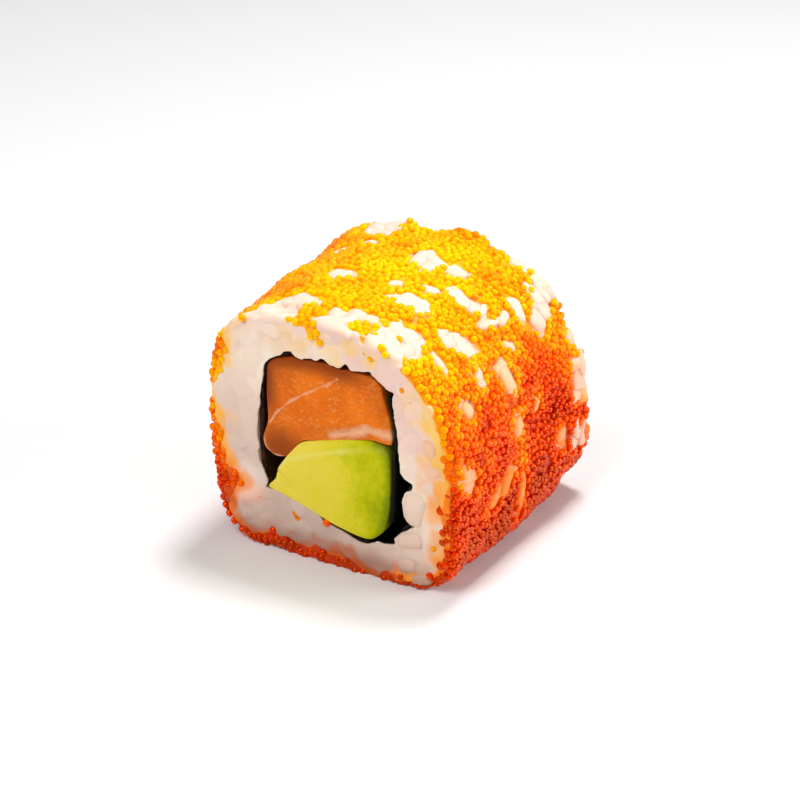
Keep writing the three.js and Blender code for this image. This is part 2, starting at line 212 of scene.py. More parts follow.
# Single eggs on the front face: place, warmth from yellow 0 to red 1, and how far the
# egg stands out of the rice, from 0 to 1.
STRAYS = [
    (-2.1, 33.5, 0.10, 0.40), (7.3, 35.1, 0.04, 0.55), (7.9, 34.3, 0.08, 0.70),
    (7.3, 32.3, 0.02, 0.12), (11.5, 28.1, 0.10, 0.10), (5.6, 33.1, 0.30, 0.30),
    (4.7, 33.7, 0.20, 0.25), (14.6, 2.7, 0.72, 0.60), (15.0, 7.0, 0.40, 0.20),
    (17.0, 5.2, 0.66, 0.60), (-6.1, 5.6, 0.45, 0.16), (-6.6, 6.4, 0.40, 0.14),
    (-6.3, 6.0, 0.42, 0.16), (-12.0, 7.5, 0.42, 0.20), (-1.4, 6.3, 0.55, 0.45),
    (-14.0, 34.4, 0.16, 0.60), (10.3, 29.6, 0.30, 0.30), (-7.6, 31.9, 0.10, 0.07),
    (-6.9, 35.6, 0.06, 0.25),
]

# Spots of the front face that the roe has stained: place, radius and strength.
STAINS = [
    (2.4, 33.9, 1.8, 0.55), (5.4, 32.8, 2.4, 0.8), (-5.0, 33.0, 4.4, 0.45),
    (-16.0, 28.0, 3.0, 0.45), (-17.6, 18.0, 3.2, 0.35), (-15.0, 9.0, 4.0, 0.75),
    (-10.0, 3.6, 3.0, 0.2), (-2.0, 3.0, 3.0, 0.12), (6.0, 2.0, 3.0, 0.2),
    (14.4, 26.0, 3.8, 0.55), (15.6, 21.0, 3.4, 0.75), (16.2, 14.0, 3.0, 0.45),
    (-13.6, 7.6, 3.6, 0.4), (-15.6, 9.4, 2.6, 1.0),
    (16.4, 8.0, 2.6, 0.25), (14.0, 3.6, 3.0, 0.15), (12.0, 29.4, 3.4, 0.4),
    (-9.0, 32.0, 3.6, 0.25), (0.0, 32.6, 3.0, 0.45), (-14.0, 33.0, 3.0, 0.2),
]

# How far in from the rim the roe has stained the front face, along the way round, and
# how strongly. On the rear face the stain reaches half as far.
RIM_STAIN = [
    (0.00, 5.4, 0.95), (0.06, 5.0, 0.95), (0.12, 2.4, 0.4), (0.17, 0.8, 0.2),
    (0.25, 0.6, 0.15), (0.33, 1.0, 0.2), (0.36, 1.4, 0.45), (0.385, 3.0, 0.95),
    (0.41, 3.0, 0.9), (0.43, 1.4, 0.6), (0.455, 1.2, 0.7), (0.475, 3.3, 1.0),
    (0.52, 3.6, 1.0), (0.545, 4.2, 1.0), (0.565, 5.8, 1.0), (0.58, 5.0, 1.0),
    (0.60, 2.6, 0.9), (0.64, 2.8, 0.9), (0.66, 4.0, 1.0), (0.70, 4.6, 1.0),
    (0.77, 4.2, 1.0), (0.785, 2.6, 0.9), (0.81, 3.0, 0.95), (0.83, 3.4, 1.0),
    (0.86, 3.6, 0.95), (0.90, 4.6, 0.85), (0.95, 5.4, 0.8),
]

# Grains that stand out of the front face or its rim: place, heading up from x, length,
# width and how far the top stands out.
FACE_LUMPS = [
    (12.2, 12.3, 84, 5.6, 3.4, 0.35), (11.4, 7.1, 12, 4.2, 2.4, 0.3),
    (14.4, 22.0, 80, 3.4, 2.6, 0.16), (15.0, 18.8, 25, 3.4, 2.6, 0.18),
    (-0.8, 35.9, 75, 3.6, 3.4, 0.4), (8.6, 34.0, 60, 4.6, 3.0, 0.3),
    (-15.0, 33.2, 35, 3.4, 2.4, 0.4), (-18.4, 24.0, 85, 3.2, 2.0, 0.4),
    (11.2, 3.2, 10, 3.2, 2.2, 0.3), (13.2, 1.6, 15, 3.4, 2.0, 0.3),
]

# Those below this height are whole grains. All of them are pressed into the rice.
WHOLE_BELOW = 23

# The rice's surface: the points of a row, the rows of each stretch, and a number for
# each kind of stretch.
RICE_COLUMNS = 560
ROWS = {"hole": 12, "front": 50, "front_rim": 9, "wall": 58, "rear_rim": 7, "rear": 30}
IN_HOLE, ON_FRONT, ON_RIM, ON_WALL, ON_REAR = range(5)
RIM_RADIUS = 0.9

# How far short of both faces the hole's rows end, and how far behind the front face the
# underside of the lip lies, at its root and at its edge.
HOLE_SHORT = 0.5
LIP_ROOT = 0.42
LIP_EDGE = 0.36

# A pressed grain's length, width and depth, the depth of a grain of FACE_LUMPS, and half
# the depth of a whole grain in a patch.
GRAIN = np.array([6.0, 2.8, 2.3])
LUMP_DEPTH = 2.2
PATCH_GRAIN_HALF_DEPTH = 0.85

# How square the patches and the whole grains are. At 2 they would be round.
PATCH_POWER = 2.6
GRAIN_POWER = 2.7

# Points round the fillings, and rows over their faces, their edges and along them.
FILLING_COLUMNS = 300
FILLING_ROWS = {"front": 44, "edge": 6, "bar": 40, "rear": 24}

# An egg's width, the least distance between the middles of two eggs, and the most eggs
# to try on a square metre.
EGG = 1.12
SPACING = 0.78
MOST_EGGS = 6e6

# Points round each half of the coat.
COAT_COLUMNS = 240

FORWARD = np.array([0.0, -1.0, 0.0])


def rice_outline(count=4096):
    """The section's outline at the front face, evenly stepped, about its centre."""
    turn = 2 * np.pi * np.arange(count) / count
    c, s = np.cos(turn), np.sin(turn)
    above = np.where(c >= 0, SQUARENESS["up_right"], SQUARENESS["up_left"])
    below = np.where(c >= 0, SQUARENESS["down_right"], SQUARENESS["down_left"])
    power = 2 / np.where(s >= 0, above, below)
    x = np.where(c >= 0, REACH["right"], REACH["left"]) * np.sign(c) * np.abs(c) ** power
    z = np.where(s >= 0, REACH["up"], REACH["down"]) * np.sign(s) * np.abs(s) ** power
    return evenly(np.stack([x + LEAN * z, z], 1), count)


def evenly(loop, count):
    """A closed loop stepped again, in even steps from its first point."""
    closed = np.vstack([loop, loop[:1]])
    walked = np.r_[0, np.cumsum(np.linalg.norm(np.diff(closed, axis=0), axis=1))]
    steps = walked[-1] * np.arange(count) / count
    return np.stack([np.interp(steps, walked, closed[:, k]) for k in (0, 1)], 1)


OUTLINE = rice_outline()
GIRTH = np.linalg.norm(np.roll(OUTLINE, -1, 0) - OUTLINE, axis=1).sum()
RUN = np.roll(OUTLINE, -8, 0) - np.roll(OUTLINE, 8, 0)
RUN /= np.linalg.norm(RUN, axis=1, keepdims=True)


def round_the_loop(values, around):
    """A value of the outline at a share of the way round."""
    return np.interp(np.mod(around, 1) * len(values), np.arange(len(values)), values,
                     period=len(values))


def wall(around, along, lift):
    """Points of the wall, the way outwards there and the way round."""
    around, along = np.broadcast_arrays(np.asarray(around, float), np.asarray(along, float))
    x, z = (round_the_loop(OUTLINE[:, k], around) for k in (0, 1))
    run_x, run_z = (round_the_loop(RUN[:, k], around) for k in (0, 1))
    out = np.stack([run_z, np.zeros_like(x), -run_x], -1)
    run = np.stack([run_x, np.zeros_like(x), run_z], -1)
    rearward = along / LENGTH
    wide = 1 + (REAR_WIDTH - 1) * rearward
    high = np.where(z > 0, 1 + (REAR_HEIGHT - 1) * rearward, 1)
    swell = sum(height * np.sin(2 * np.pi * waves * np.mod(around, 1)
                                + twist * rearward + phase)
                for waves, twist, phase, height in SWELLS)
    bulge = at_share(BULGE, around)
    for at_around, at_along, wide_reach, long_reach, height in BULGES:
        across = (np.mod(around - at_around + 0.5, 1) - 0.5) / wide_reach
        away = np.hypot(across, (along - at_along) / long_reach)
        bulge = bulge + height * smooth_step(-away, -1.0, 0.0)
    point = np.stack([x * wide, along - HALF, CENTRE_HEIGHT + z * high], -1)
    return point + out * (lift + swell + bulge)[..., None], out, run


def cloud(points, size, seed):
    """Smooth random values from -1 to 1, which change over about size millimetres."""
    side = 48
    lattice = np.random.default_rng(seed).uniform(-1, 1, (side, side, side))
    spot = np.asarray(points) / size + side
    low = np.floor(spot).astype(int)
    share = spot - low
    share = share * share * (3 - 2 * share)
    total = 0
    for corner in np.ndindex(2, 2, 2):
        weight = np.prod(np.where(corner, share, 1 - share), axis=-1)
        cell = (low + corner) % side
        total = total + weight * lattice[cell[..., 0], cell[..., 1], cell[..., 2]]
    return total


def smooth_step(value, low, high):
    """0 below low, 1 above high and a smooth rise between."""
    share = np.clip((value - low) / (high - low), 0, 1)
    return share * share * (3 - 2 * share)


def fade(value, low, high):
    """1 below low, 0 above high and a smooth fall between."""
    return 1 - smooth_step(value, low, high)


def at_share(table, around, column=1):
    """A table's value at a share of the way round, between its rows."""
    columns = np.array(table).T
    return np.interp(np.mod(around, 1), columns[0], columns[column], period=1)


def in_patch(across, along, heading, length, width):
    """Distance from a patch's middle, where 1 is its edge."""
    turn = math.radians(heading)
    u = along * math.cos(turn) + across * math.sin(turn)
    v = along * math.sin(turn) - across * math.cos(turn)
    reach = np.abs(2 * u / length) ** PATCH_POWER + np.abs(2 * v / width) ** PATCH_POWER
    return reach ** (1 / PATCH_POWER)


def to_bare_rice(around, along):
    """Millimetres, roughly, from the nearest patch of bare rice; below zero inside one."""
    nearest = np.full(np.shape(around), 99.0)
    for patch_around, patch_along, heading, length, width in PATCHES:
        across = (np.mod(around - patch_around + 0.5, 1) - 0.5) * GIRTH
        reach = in_patch(across, along - patch_along, heading, length, width)
        nearest = np.minimum(nearest, (reach - 1) * width / 2)
    return nearest


def roe_cover(around, along, points):
    """How closely the roe covers a place, from 0 to 1."""
    ragged = 0.45 * cloud(points, 1.1, 5) + 0.3 * cloud(points, 2.6, 6)
    past_front = along - at_share(COAT_FRONT, around) + 1.6 * ragged
    past_rear = LENGTH - 0.1 - along + ragged
    past_rice = to_bare_rice(around, along) + 0.9 * ragged
    cover = smooth_step(past_front, 0, 0.5) * smooth_step(past_rear, 0, 0.5)
    cover = cover * smooth_step(past_rice, -0.05, 0.35)
    thin = smooth_step(cloud(points, 2.2, 7), 0.55, 0.9)
    return cover * (1 - 0.5 * thin)


def coat_lift(points):
    """How far the bed that the eggs lie in stands off the wall."""
    return -0.05 + 0.18 * cloud(points, 3.4, 71) + 0.10 * cloud(points, 1.6, 72)


def on_drip(points):
    """1 on a drip of roe on the front face, and 0 elsewhere."""
    cover = np.zeros(len(points))
    for x, z, half_width, half_height, tilt in DRIPS:
        turn = math.radians(tilt)
        u = (points[:, 0] - x) * math.cos(turn) + (points[:, 2] - z) * math.sin(turn)
        v = (points[:, 2] - z) * math.cos(turn) - (points[:, 0] - x) * math.sin(turn)
        reach = np.hypot(u / half_width, v / half_height)
        cover = np.maximum(cover, smooth_step(-reach, -1.15, -0.85))
    return cover


def roe_warmth(around, along, points):
    """The colour of the roe at a place: painted light and shade round the roll, yellow on the lit
    top and redder on the shaded sides, yellower beside bare rice and near the front edge.
    """
    base = at_share(PAINTED_LIGHT_WARMTH, around)
    drifts = 0.16 * cloud(points, 4.5, 8) + 0.12 * cloud(points, 1.9, 9)
    beside_front = fade(along - at_share(COAT_FRONT, around), 0.0, 2.2) * fade(base, 0.5, 0.8)
    beside_rice = fade(to_bare_rice(around, along), 0.2, 1.8)
    beside_rice = beside_rice * (1 - 0.5 * smooth_step(base, 0.7, 0.95))
    pale = np.maximum(0.8 * beside_rice, 1.2 * beside_front)
    return np.clip((base + drifts) * (1 - 0.55 * pale), 0, 1)


def rounded_loop(corners, count, share=0.35):
    """A closed loop through corners, each rounded off by a curve of its own."""
    corners = np.array(corners, float)
    steps = np.linspace(0, 1, 9)[:, None]
    before = corners + (np.roll(corners, 1, 0) - corners) * share
    after = corners + (np.roll(corners, -1, 0) - corners) * share
    curves = [(1 - steps) ** 2 * a + 2 * steps * (1 - steps) * b + steps ** 2 * c
              for a, b, c in zip(before, corners, after)]
    return evenly(np.vstack(curves), count)


def inset(loop, distance):
    """The same loop moved inwards, or outwards by a negative distance."""
    run = np.roll(loop, -1, 0) - np.roll(loop, 1, 0)
    run = run / np.linalg.norm(run, axis=1, keepdims=True)
    return loop + distance * np.stack([-run[:, 1], run[:, 0]], 1)


SHEET_LOOP = rounded_loop(SHEET_CORNERS, 720)
sheet_low, sheet_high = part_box("nori")
SHIFT = np.array([
    sheet_low.x / MM - SHEET_LOOP[:, 0].min(), (sheet_low.y + sheet_high.y) / 2 / MM, 0])


def linked(name, data):
    """A new object in the scene."""
    piece = bpy.data.objects.new(name, data)
    bpy.context.scene.collection.objects.link(piece)
    return piece


def section_at(loop, y):
    """A section's points, at a place along the roll from its middle."""
    return np.stack([loop[:, 0], np.full(len(loop), y), loop[:, 1]], 1)


def made(name, points, faces, values=None):
    """A smooth mesh object from points in millimetres, with a number at each point."""
    mesh = bpy.data.meshes.new(name)
    placed = (np.asarray(points) + SHIFT) * MM
    mesh.from_pydata(placed.tolist(), [], faces)
    for label, numbers in (values or {}).items():
        attribute = mesh.attributes.new(label, "FLOAT", "POINT")
        attribute.data.foreach_set("value", np.asarray(numbers, np.float32).ravel())
    mesh.shade_smooth()
    return linked(name, mesh)


def quads(rows, columns, wrap_rows=False):
    """Faces over a grid of points whose columns close on themselves."""
    row = np.arange(rows if wrap_rows else rows - 1)[:, None]
    column = np.arange(columns)[None, :]
    nxt = (column + 1) % columns
    below = (row + 1) % rows
    corners = np.stack(np.broadcast_arrays(
        row * columns + column, below * columns + column,
        below * columns + nxt, row * columns + nxt), -1)
    return corners.reshape(-1, 4).tolist()


# Rice.

def scattered_places(count, seed, spacing, candidates):
    """Which of the candidate places get a grain, each at least a spacing apart."""
    random = np.random.default_rng(seed)
    kept = []
    for place in random.permutation(len(candidates)):
        spot = candidates[place]
        if all(((spot - candidates[k]) ** 2).sum() > spacing ** 2 for k in kept):
            kept.append(place)
        if len(kept) >= count:
            break
    return np.array(kept)


def press(points, outs, grains, lowest):
    """How far grains stand out of a surface at each point, and which one is on top."""
    lift = np.array(lowest, float)
    top = np.full(len(points), -1)
    for number, (centre, axes, half) in enumerate(grains):
        near = np.where(((points - centre) ** 2).sum(1) < (half.max() + 1.5) ** 2)[0]
        p = (points[near] - centre) @ axes.T / half
        d = outs[near] @ axes.T / half
        a, b, c = (d * d).sum(1), (p * d).sum(1), (p * p).sum(1) - 1
        inside = b * b - a * c
        reach = (np.sqrt(np.maximum(inside, 0)) - b) / a
        wins = (inside > 0) & (reach > lift[near])
        lift[near[wins]] = reach[wins]
        top[near[wins]] = number
    return lift, top


def lying_grain(centre, out, heading, size, tilt=0.0):
    """A grain's centre, axes and half sizes, with its flat side to out."""
    heading = heading - out * (heading @ out)
    heading = heading / np.linalg.norm(heading)
    heading = heading * math.cos(tilt) + out * math.sin(tilt)
    side = np.cross(heading, out)
    side = side / np.linalg.norm(side)
    return centre, np.stack([heading, side, np.cross(side, heading)]), np.asarray(size) / 2


def hole_radius(angle, loop):
    """Distance of a loop from the middle of the hole, at an angle."""
    from_heart = loop - HEART
    angles = np.arctan2(from_heart[:, 1], from_heart[:, 0])
    order = np.argsort(angles)
    radii = np.hypot(from_heart[:, 0], from_heart[:, 1])
    return np.interp(angle, angles[order], radii[order], period=2 * np.pi)


def rice_ring():
    """The ring of rice: rows of points from the rear of the hole, over the front face,
    along the wall and over the rear face back to the hole."""
    around = np.arange(RICE_COLUMNS) / RICE_COLUMNS
    rim = RIM_RADIUS
    face_at = {}
    for end, along in (("front", 0.0), ("rear", LENGTH)):
        edge, out, _ = wall(around, along, 0.0)
        angle = np.arctan2(edge[:, 2] - HEART[1], edge[:, 0] - HEART[0])
        radius = hole_radius(angle, inset(SHEET_LOOP, -CLEARANCE))[:, None]
        ways = np.stack([np.cos(angle), np.sin(angle)], 1)
        face_at[end] = (section_at(radius * ways + HEART, along - HALF), edge, out)
    rows, outs, kinds, alongs = [], [], [], []

    def add(points, out, kind, along):
        rows.append(points)
        outs.append(np.broadcast_to(out, points.shape))
        kinds.append(kind)
        alongs.append(along)

    for share in np.linspace(0, 1, ROWS["hole"]):
        hole = face_at["rear"][0] * (1 - share) + face_at["front"][0] * share
        hole[:, 1] = (HALF - HOLE_SHORT) * (1 - 2 * share)
        add(hole, FORWARD, IN_HOLE, HALF + hole[0, 1])
    hole, edge, out = face_at["front"]
    from_heart = hole - [HEART[0], -HALF, HEART[1]]
    angle = np.arctan2(from_heart[:, 2], from_heart[:, 0])
    lip_loop = rounded_loop(LIP_CORNERS, 1400, 0.3)
    ragged = 0.14 * cloud(hole, 0.9, 91) + 0.07 * cloud(hole, 0.4, 92)
    lip_share = np.minimum((hole_radius(angle, lip_loop) + ragged)
                           / np.linalg.norm(from_heart, axis=1), 1)[:, None]
    lip = [HEART[0], -HALF, HEART[1]] + from_heart * lip_share
    add(hole + [0, LIP_ROOT, 0], FORWARD, IN_HOLE, 0.2)
    add(lip + [0, LIP_EDGE, 0], FORWARD, IN_HOLE, 0.2)
    for share in np.linspace(0, 1, ROWS["front"]):
        add(lip * (1 - share) + (edge - rim * out) * share, FORWARD, ON_FRONT, 0.0)
    for turn in np.linspace(0, np.pi / 2, ROWS["front_rim"])[1:-1]:
        way = out * math.sin(turn) + FORWARD * math.cos(turn)
        along = rim * (1 - math.cos(turn))
        add(edge - rim * (out + FORWARD) + rim * way, way, ON_RIM, along)
    for along in np.linspace(rim, LENGTH - rim, ROWS["wall"]):
        points, out, _ = wall(around, along, 0.0)
        add(points, out, ON_WALL, along)
    hole, edge, out = face_at["rear"]
    for turn in np.linspace(0, np.pi / 2, ROWS["rear_rim"])[1:-1]:
        way = out * math.cos(turn) - FORWARD * math.sin(turn)
        along = LENGTH - rim * (1 - math.sin(turn))
        add(edge - rim * (out - FORWARD) + rim * way, way, ON_RIM, along)
    for share in np.linspace(1, 0, ROWS["rear"]):
        add(hole * (1 - share) + (edge - rim * out) * share, -FORWARD, ON_REAR, LENGTH)
    points, way = np.vstack(rows), np.vstack(outs)
    kind = np.repeat(kinds, RICE_COLUMNS)
    along = np.repeat(alongs, RICE_COLUMNS).astype(float)
    shares = np.tile(around, len(rows))
    return points, way, kind, along, shares, len(rows)


def face_lump(x, z, heading, length, width, stand, sunk=LUMP_DEPTH / 2):
    """The centre, axes and half sizes of a grain of FACE_LUMPS."""
    turn = math.radians(heading)
    axis = np.array([math.cos(turn), 0.0, math.sin(turn)])
    centre = np.array([x, -HALF - stand + sunk, z])
    return lying_grain(centre, FORWARD, axis, (length, width, LUMP_DEPTH))


def rice_grains_pressed(points, way, kind):
    """Grains half sunk in the ring's faces and wall."""
    random = np.random.default_rng(77)
    grains = []
    on_side = (kind == ON_RIM) | (kind == ON_WALL)
    for count, seed, spacing, chosen in ((150, 1, 2.3, kind == ON_FRONT),
                                         (120, 2, 2.5, kind == ON_REAR),
                                         (560, 3, 2.5, on_side)):
        spots = np.where(chosen)[0]
        kept = spots[scattered_places(count, seed, spacing, points[spots])]
        for k in kept:
            size = GRAIN * random.uniform(0.85, 1.12)
            stand = random.uniform(-0.25, 0.28)
            heading = random.normal(size=3)
            centre = points[k] + way[k] * (stand - size[2] / 2)
            tilt = random.uniform(-0.35, 0.35)
            grains.append(lying_grain(centre, way[k], heading, size, tilt))
    return grains + [face_lump(*lump) for lump in FACE_LUMPS]


def roll_values(shares, along, points):
    """The roe's cover and warmth, at places of the ring or of the coat."""
    cover = np.maximum(roe_cover(shares, along, points), on_drip(points) * (along < 0.6))
    return cover, roe_warmth(shares, along, points)


def blurred(grid, reach):
    """Each value of a grid, evened out with those up to reach steps away."""
    steps = range(-reach, reach + 1)
    return sum(np.roll(grid, (i, j), (0, 1)) for i in steps for j in steps) / len(steps) ** 2


def rice_piece():
    """The rice, with its pressed grains and the bed of roe round it."""
    points, way, kind, along, shares, rows = rice_ring()
    edge, _, _ = wall(shares, 0.0, 0.0)
    inward = np.hypot(points[:, 0] - edge[:, 0], points[:, 2] - edge[:, 2])
    front, hole = kind == ON_FRONT, kind == IN_HOLE
    cut = front | (kind == ON_REAR)
    on_wall = (kind == ON_RIM) | (kind == ON_WALL)
    walked = np.where(front, -inward, along)
    walked = np.where(kind == ON_REAR, LENGTH + inward, walked)
    cover, warmth = roll_values(shares, walked, points)
    cover = np.where(hole, 0, cover)
    # Stains on the front face are yellower than the roe beside them.
    on_right = smooth_step(points[:, 0], 6, 12)
    warmth = np.where(front, warmth * (0.85 - 0.35 * on_right), warmth)
    # The pressed grains, flattened by the knife on the cut faces and by the mat elsewhere.
    lowest = np.where(on_wall, -0.9, -0.45)
    grains = rice_grains_pressed(points, way, kind)
    lift, top = press(points, way, grains, lowest)
    lift = np.where(hole, 0, lift)
    lip_away = to_loop(points, rounded_loop(LIP_CORNERS, 600, 0.3))
    lift = np.where(front, lift * smooth_step(lip_away, -0.6, 1.0), lift)
    cap = -0.05 + 0.06 * cloud(points, 3.0, 12)
    lift = np.where(cut & (lift > cap), cap + 0.2 * (lift - cap), lift)
    lift = np.where(cut & (lift < cap), cap + 0.35 * (lift - cap), lift)
    lift = np.where(on_wall & (lift > 0.1), 0.1 + 0.5 * (lift - 0.1), lift)
    lift = np.minimum(lift, 0.4) + 0.04 * cloud(points, 1.4, 13)
    # Under the eggs, their bed takes the place of the grains.
    bedded = cover * on_wall
    lift = lift * (1 - bedded) + (coat_lift(points) - 0.1) * bedded
    grid = lift.reshape(rows, RICE_COLUMNS)
    soft = blurred(grid, 1)
    # Painted shade: darker in the creases between the grains, less so on the cut faces.
    crease = np.clip((blurred(grid, 3) - soft) / 0.22, 0, 1).ravel() * np.where(cut, 0.7, 1)
    lift = np.where(hole, 0, (0.5 * grid + 0.5 * soft).ravel())
    shaped = points + way * lift[:, None]
    shaped[:, 2] = np.maximum(shaped[:, 2], 0)
    random = np.random.default_rng(4)
    tone = random.uniform(0, 1, len(grains) + 1)[top]
    # Painted shade on the parts of the right side that face right, where the right-hand lamp
    # falls.
    right_side_shade = smooth_step(way[:, 0], 0.3, 0.9) * smooth_step(points[:, 0], 8, 16)
    # Stains: spots of the front face, then the rims, then the bare patches.
    stain = np.zeros(len(points))
    for x, z, radius, strength in STAINS:
        away = np.hypot(points[:, 0] - x, points[:, 2] - z)
        away = away + 0.5 * radius * cloud(points, radius * 0.6, 15)
        stain = np.maximum(stain, strength * fade(away, 0.2 * radius, radius))
    stain = np.where(front, stain, 0)
    depth = at_share(RIM_STAIN, shares, 1) * np.where(kind == ON_REAR, 0.5, 1)
    depth = depth * (1 + 0.45 * cloud(points, 1.8, 17) + 0.2 * cloud(points, 0.8, 18))
    near_rim = at_share(RIM_STAIN, shares, 2) * fade(inward / depth, 0.4, 1.05)
    stain = np.maximum(stain, np.where(cut | (kind == ON_RIM), near_rim, 0))
    bare_side = on_wall * (1 - cover) * (0.15 + 0.75 * smooth_step(warmth, 0.25, 0.6))
    stain = np.maximum(stain, bare_side)
    faces = quads(rows, RICE_COLUMNS, wrap_rows=True)
    values = {"tone": tone, "crease": np.maximum(crease, right_side_shade), "stain": stain,
              "cover": cover, "warmth": warmth}
    return made("sticky_rice", shaped, faces, values)


def unit_ball(segments, rings):
    """A ball of radius 1 as rows of points from pole to pole, with its faces."""
    tall = np.linspace(0, np.pi, rings + 1)[1:-1]
    turn = 2 * np.pi * np.arange(segments) / segments
    ring = np.stack([np.cos(turn), np.sin(turn)], 1)
    points = [(0.0, 0.0, 1.0)]
    for angle in tall:
        points += [(math.sin(angle) * c, math.sin(angle) * s, math.cos(angle)) for c, s in ring]
    points.append((0.0, 0.0, -1.0))
    last = len(points) - 1
    faces = []
    for k in range(segments):
        nxt = (k + 1) % segments
        faces.append((0, 1 + k, 1 + nxt))
        faces.append((last, last - segments + nxt, last - segments + k))
        for row in range(rings - 2):
            a, b = 1 + row * segments + k, 1 + row * segments + nxt
            faces.append((a, a + segments, b + segments, b))
    return np.array(points), faces


def grain_piece():
    """Whole grains that show on the wall and stand out of the front face."""
    random = np.random.default_rng(21)
    unit, unit_faces = unit_ball(20, 14)
    points, faces = [], []
    values = {name: [] for name in ("tone", "stain", "crease", "cover", "warmth")}

    def lay(centre, axes, half, tint, warm, darkened):
        blunt = (np.abs(unit) ** GRAIN_POWER).sum(1)[:, None] ** (1 / GRAIN_POWER)
        local = unit / blunt
        local[:, 1] += 0.10 * (local[:, 0] ** 2 - 0.4)
        shaped = centre + (local * half) @ axes
        dents = cloud(shaped, 1.5, 31)[:, None] * 0.16 + cloud(shaped, 0.7, 32)[:, None] * 0.05
        shaped = shaped + dents * (unit @ axes)
        start = sum(len(p) for p in points)
        points.append(shaped)
        faces.extend(tuple(start + k for k in face) for face in unit_faces)
        stained = np.clip(tint * (1.5 - 0.7 * unit[:, 2]), 0, 1)
        for name, value in (("tone", random.uniform(0, 1)), ("stain", stained),
                            ("crease", darkened), ("cover", 0.0), ("warmth", 0.7 * warm)):
            values[name].append(np.broadcast_to(value, len(unit)))

    for around, along, heading, length, width in PATCHES:
        count = max(1, round(length * width / 7.0))
        turn = math.radians(heading)
        warm = float(at_share(PAINTED_LIGHT_WARMTH, around))
        shaded = smooth_step(warm, 0.25, 0.65) * (1 - 0.7 * smooth_step(along, 24, 30))
        # Roe has stained the low patches on the right the most.
        low = (0.9 < around < 0.98) and along < 30
        tint = 0.2 + 0.5 * float(shaded) + 0.35 * low
        for number in range(count):
            along_patch = length * 0.8 * ((number + 0.5) / count - 0.5)
            beside = 0.22 * width * (-1) ** number if count > 1 else 0.0
            at_along = along + along_patch * math.cos(turn) - beside * math.sin(turn)
            at_around = around + (along_patch * math.sin(turn) + beside * math.cos(turn)) / GIRTH
            if count == 1:
                half = np.array([length * 0.54, width * 0.58, PATCH_GRAIN_HALF_DEPTH])
                lies = turn + random.uniform(-0.2, 0.2)
            else:
                half = np.array([random.uniform(1.8, 2.6), random.uniform(1.2, 1.6),
                                 PATCH_GRAIN_HALF_DEPTH])
                lies = turn + random.uniform(-1.3, 1.3)
            reach = max(half[0] * abs(math.cos(lies)), half[1])
            at_along = min(max(at_along, reach - 0.2), LENGTH - reach + 0.2)
            stand = random.uniform(0.05, 0.36)
            base, out, run = (v[0] for v in wall([at_around], [at_along], [stand - half[2]]))
            axis = np.array([0.0, math.cos(lies), 0.0]) + run * math.sin(lies)
            centre, axes, _ = lying_grain(base, out, axis, half)
            # The last value is painted shade, darker on the grains at the far right.
            lay(centre, axes, half, tint, warm, smooth_step(centre[0], 13, 18))
    for lump in FACE_LUMPS:
        x, z = lump[:2]
        if z < WHOLE_BELOW:
            # Lumps up to x 14 get painted shade; those further right get a stain instead.
            tint, darkened = (0.45, 0.0) if x > 14 else (0.08, 0.6)
            lay(*face_lump(*lump, sunk=1.05), tint, 0.5, darkened)
    shaped = np.vstack(points)
    shaped[:, 2] = np.maximum(shaped[:, 2], 0)
    return made("rice_grains", shaped, faces,
                {name: np.concatenate(numbers) for name, numbers in values.items()})


# Materials.

class Value:
    """A socket of a node tree. An expression on values adds its Math nodes."""

    def __init__(self, tree, socket):
        self.tree = tree
        self.socket = socket

    def math(self, operation, other, reflected=False):
        first, second = (other, self) if reflected else (self, other)
        return self.tree.node("ShaderNodeMath", {"operation": operation},
                              {0: first, 1: second})

    def __add__(self, other):
        return self.math("ADD", other)

    def __sub__(self, other):
        return self.math("SUBTRACT", other)

    def __rsub__(self, other):
        return self.math("SUBTRACT", other, reflected=True)

    def __mul__(self, other):
        return self.math("MULTIPLY", other)

    def __truediv__(self, other):
        return self.math("DIVIDE", other)

    def __rtruediv__(self, other):
        return self.math("DIVIDE", other, reflected=True)

    __radd__ = __add__
    __rmul__ = __mul__


class Tree:
    """A node tree with a short way to add a node to it."""

    def __init__(self, tree):
        self.tree = tree

    def node(self, kind, settings=None, sockets=None, out=0):
        added = self.tree.nodes.new(kind)
        for name, setting in (settings or {}).items():
            if name == "stops":
                self.set_stops(added.color_ramp.elements, setting)
            else:
                setattr(added, name, setting)
        for key, value in (sockets or {}).items():
            self.feed(added.inputs[key], value)
        return Value(self, added.outputs[out]) if len(added.outputs) else added

    def feed(self, socket, value):
        if isinstance(value, Value):
            self.tree.links.new(value.socket, socket)
        elif socket.type == "RGBA" and len(value) == 3:
            socket.default_value = (*value, 1)
        else:
            socket.default_value = value

    @staticmethod
    def set_stops(elements, stops):
        while len(elements) < len(stops):
            elements.new(1)
        for element, (position, colour) in zip(elements, stops):
            element.position = position
            element.color = (*colour, 1)


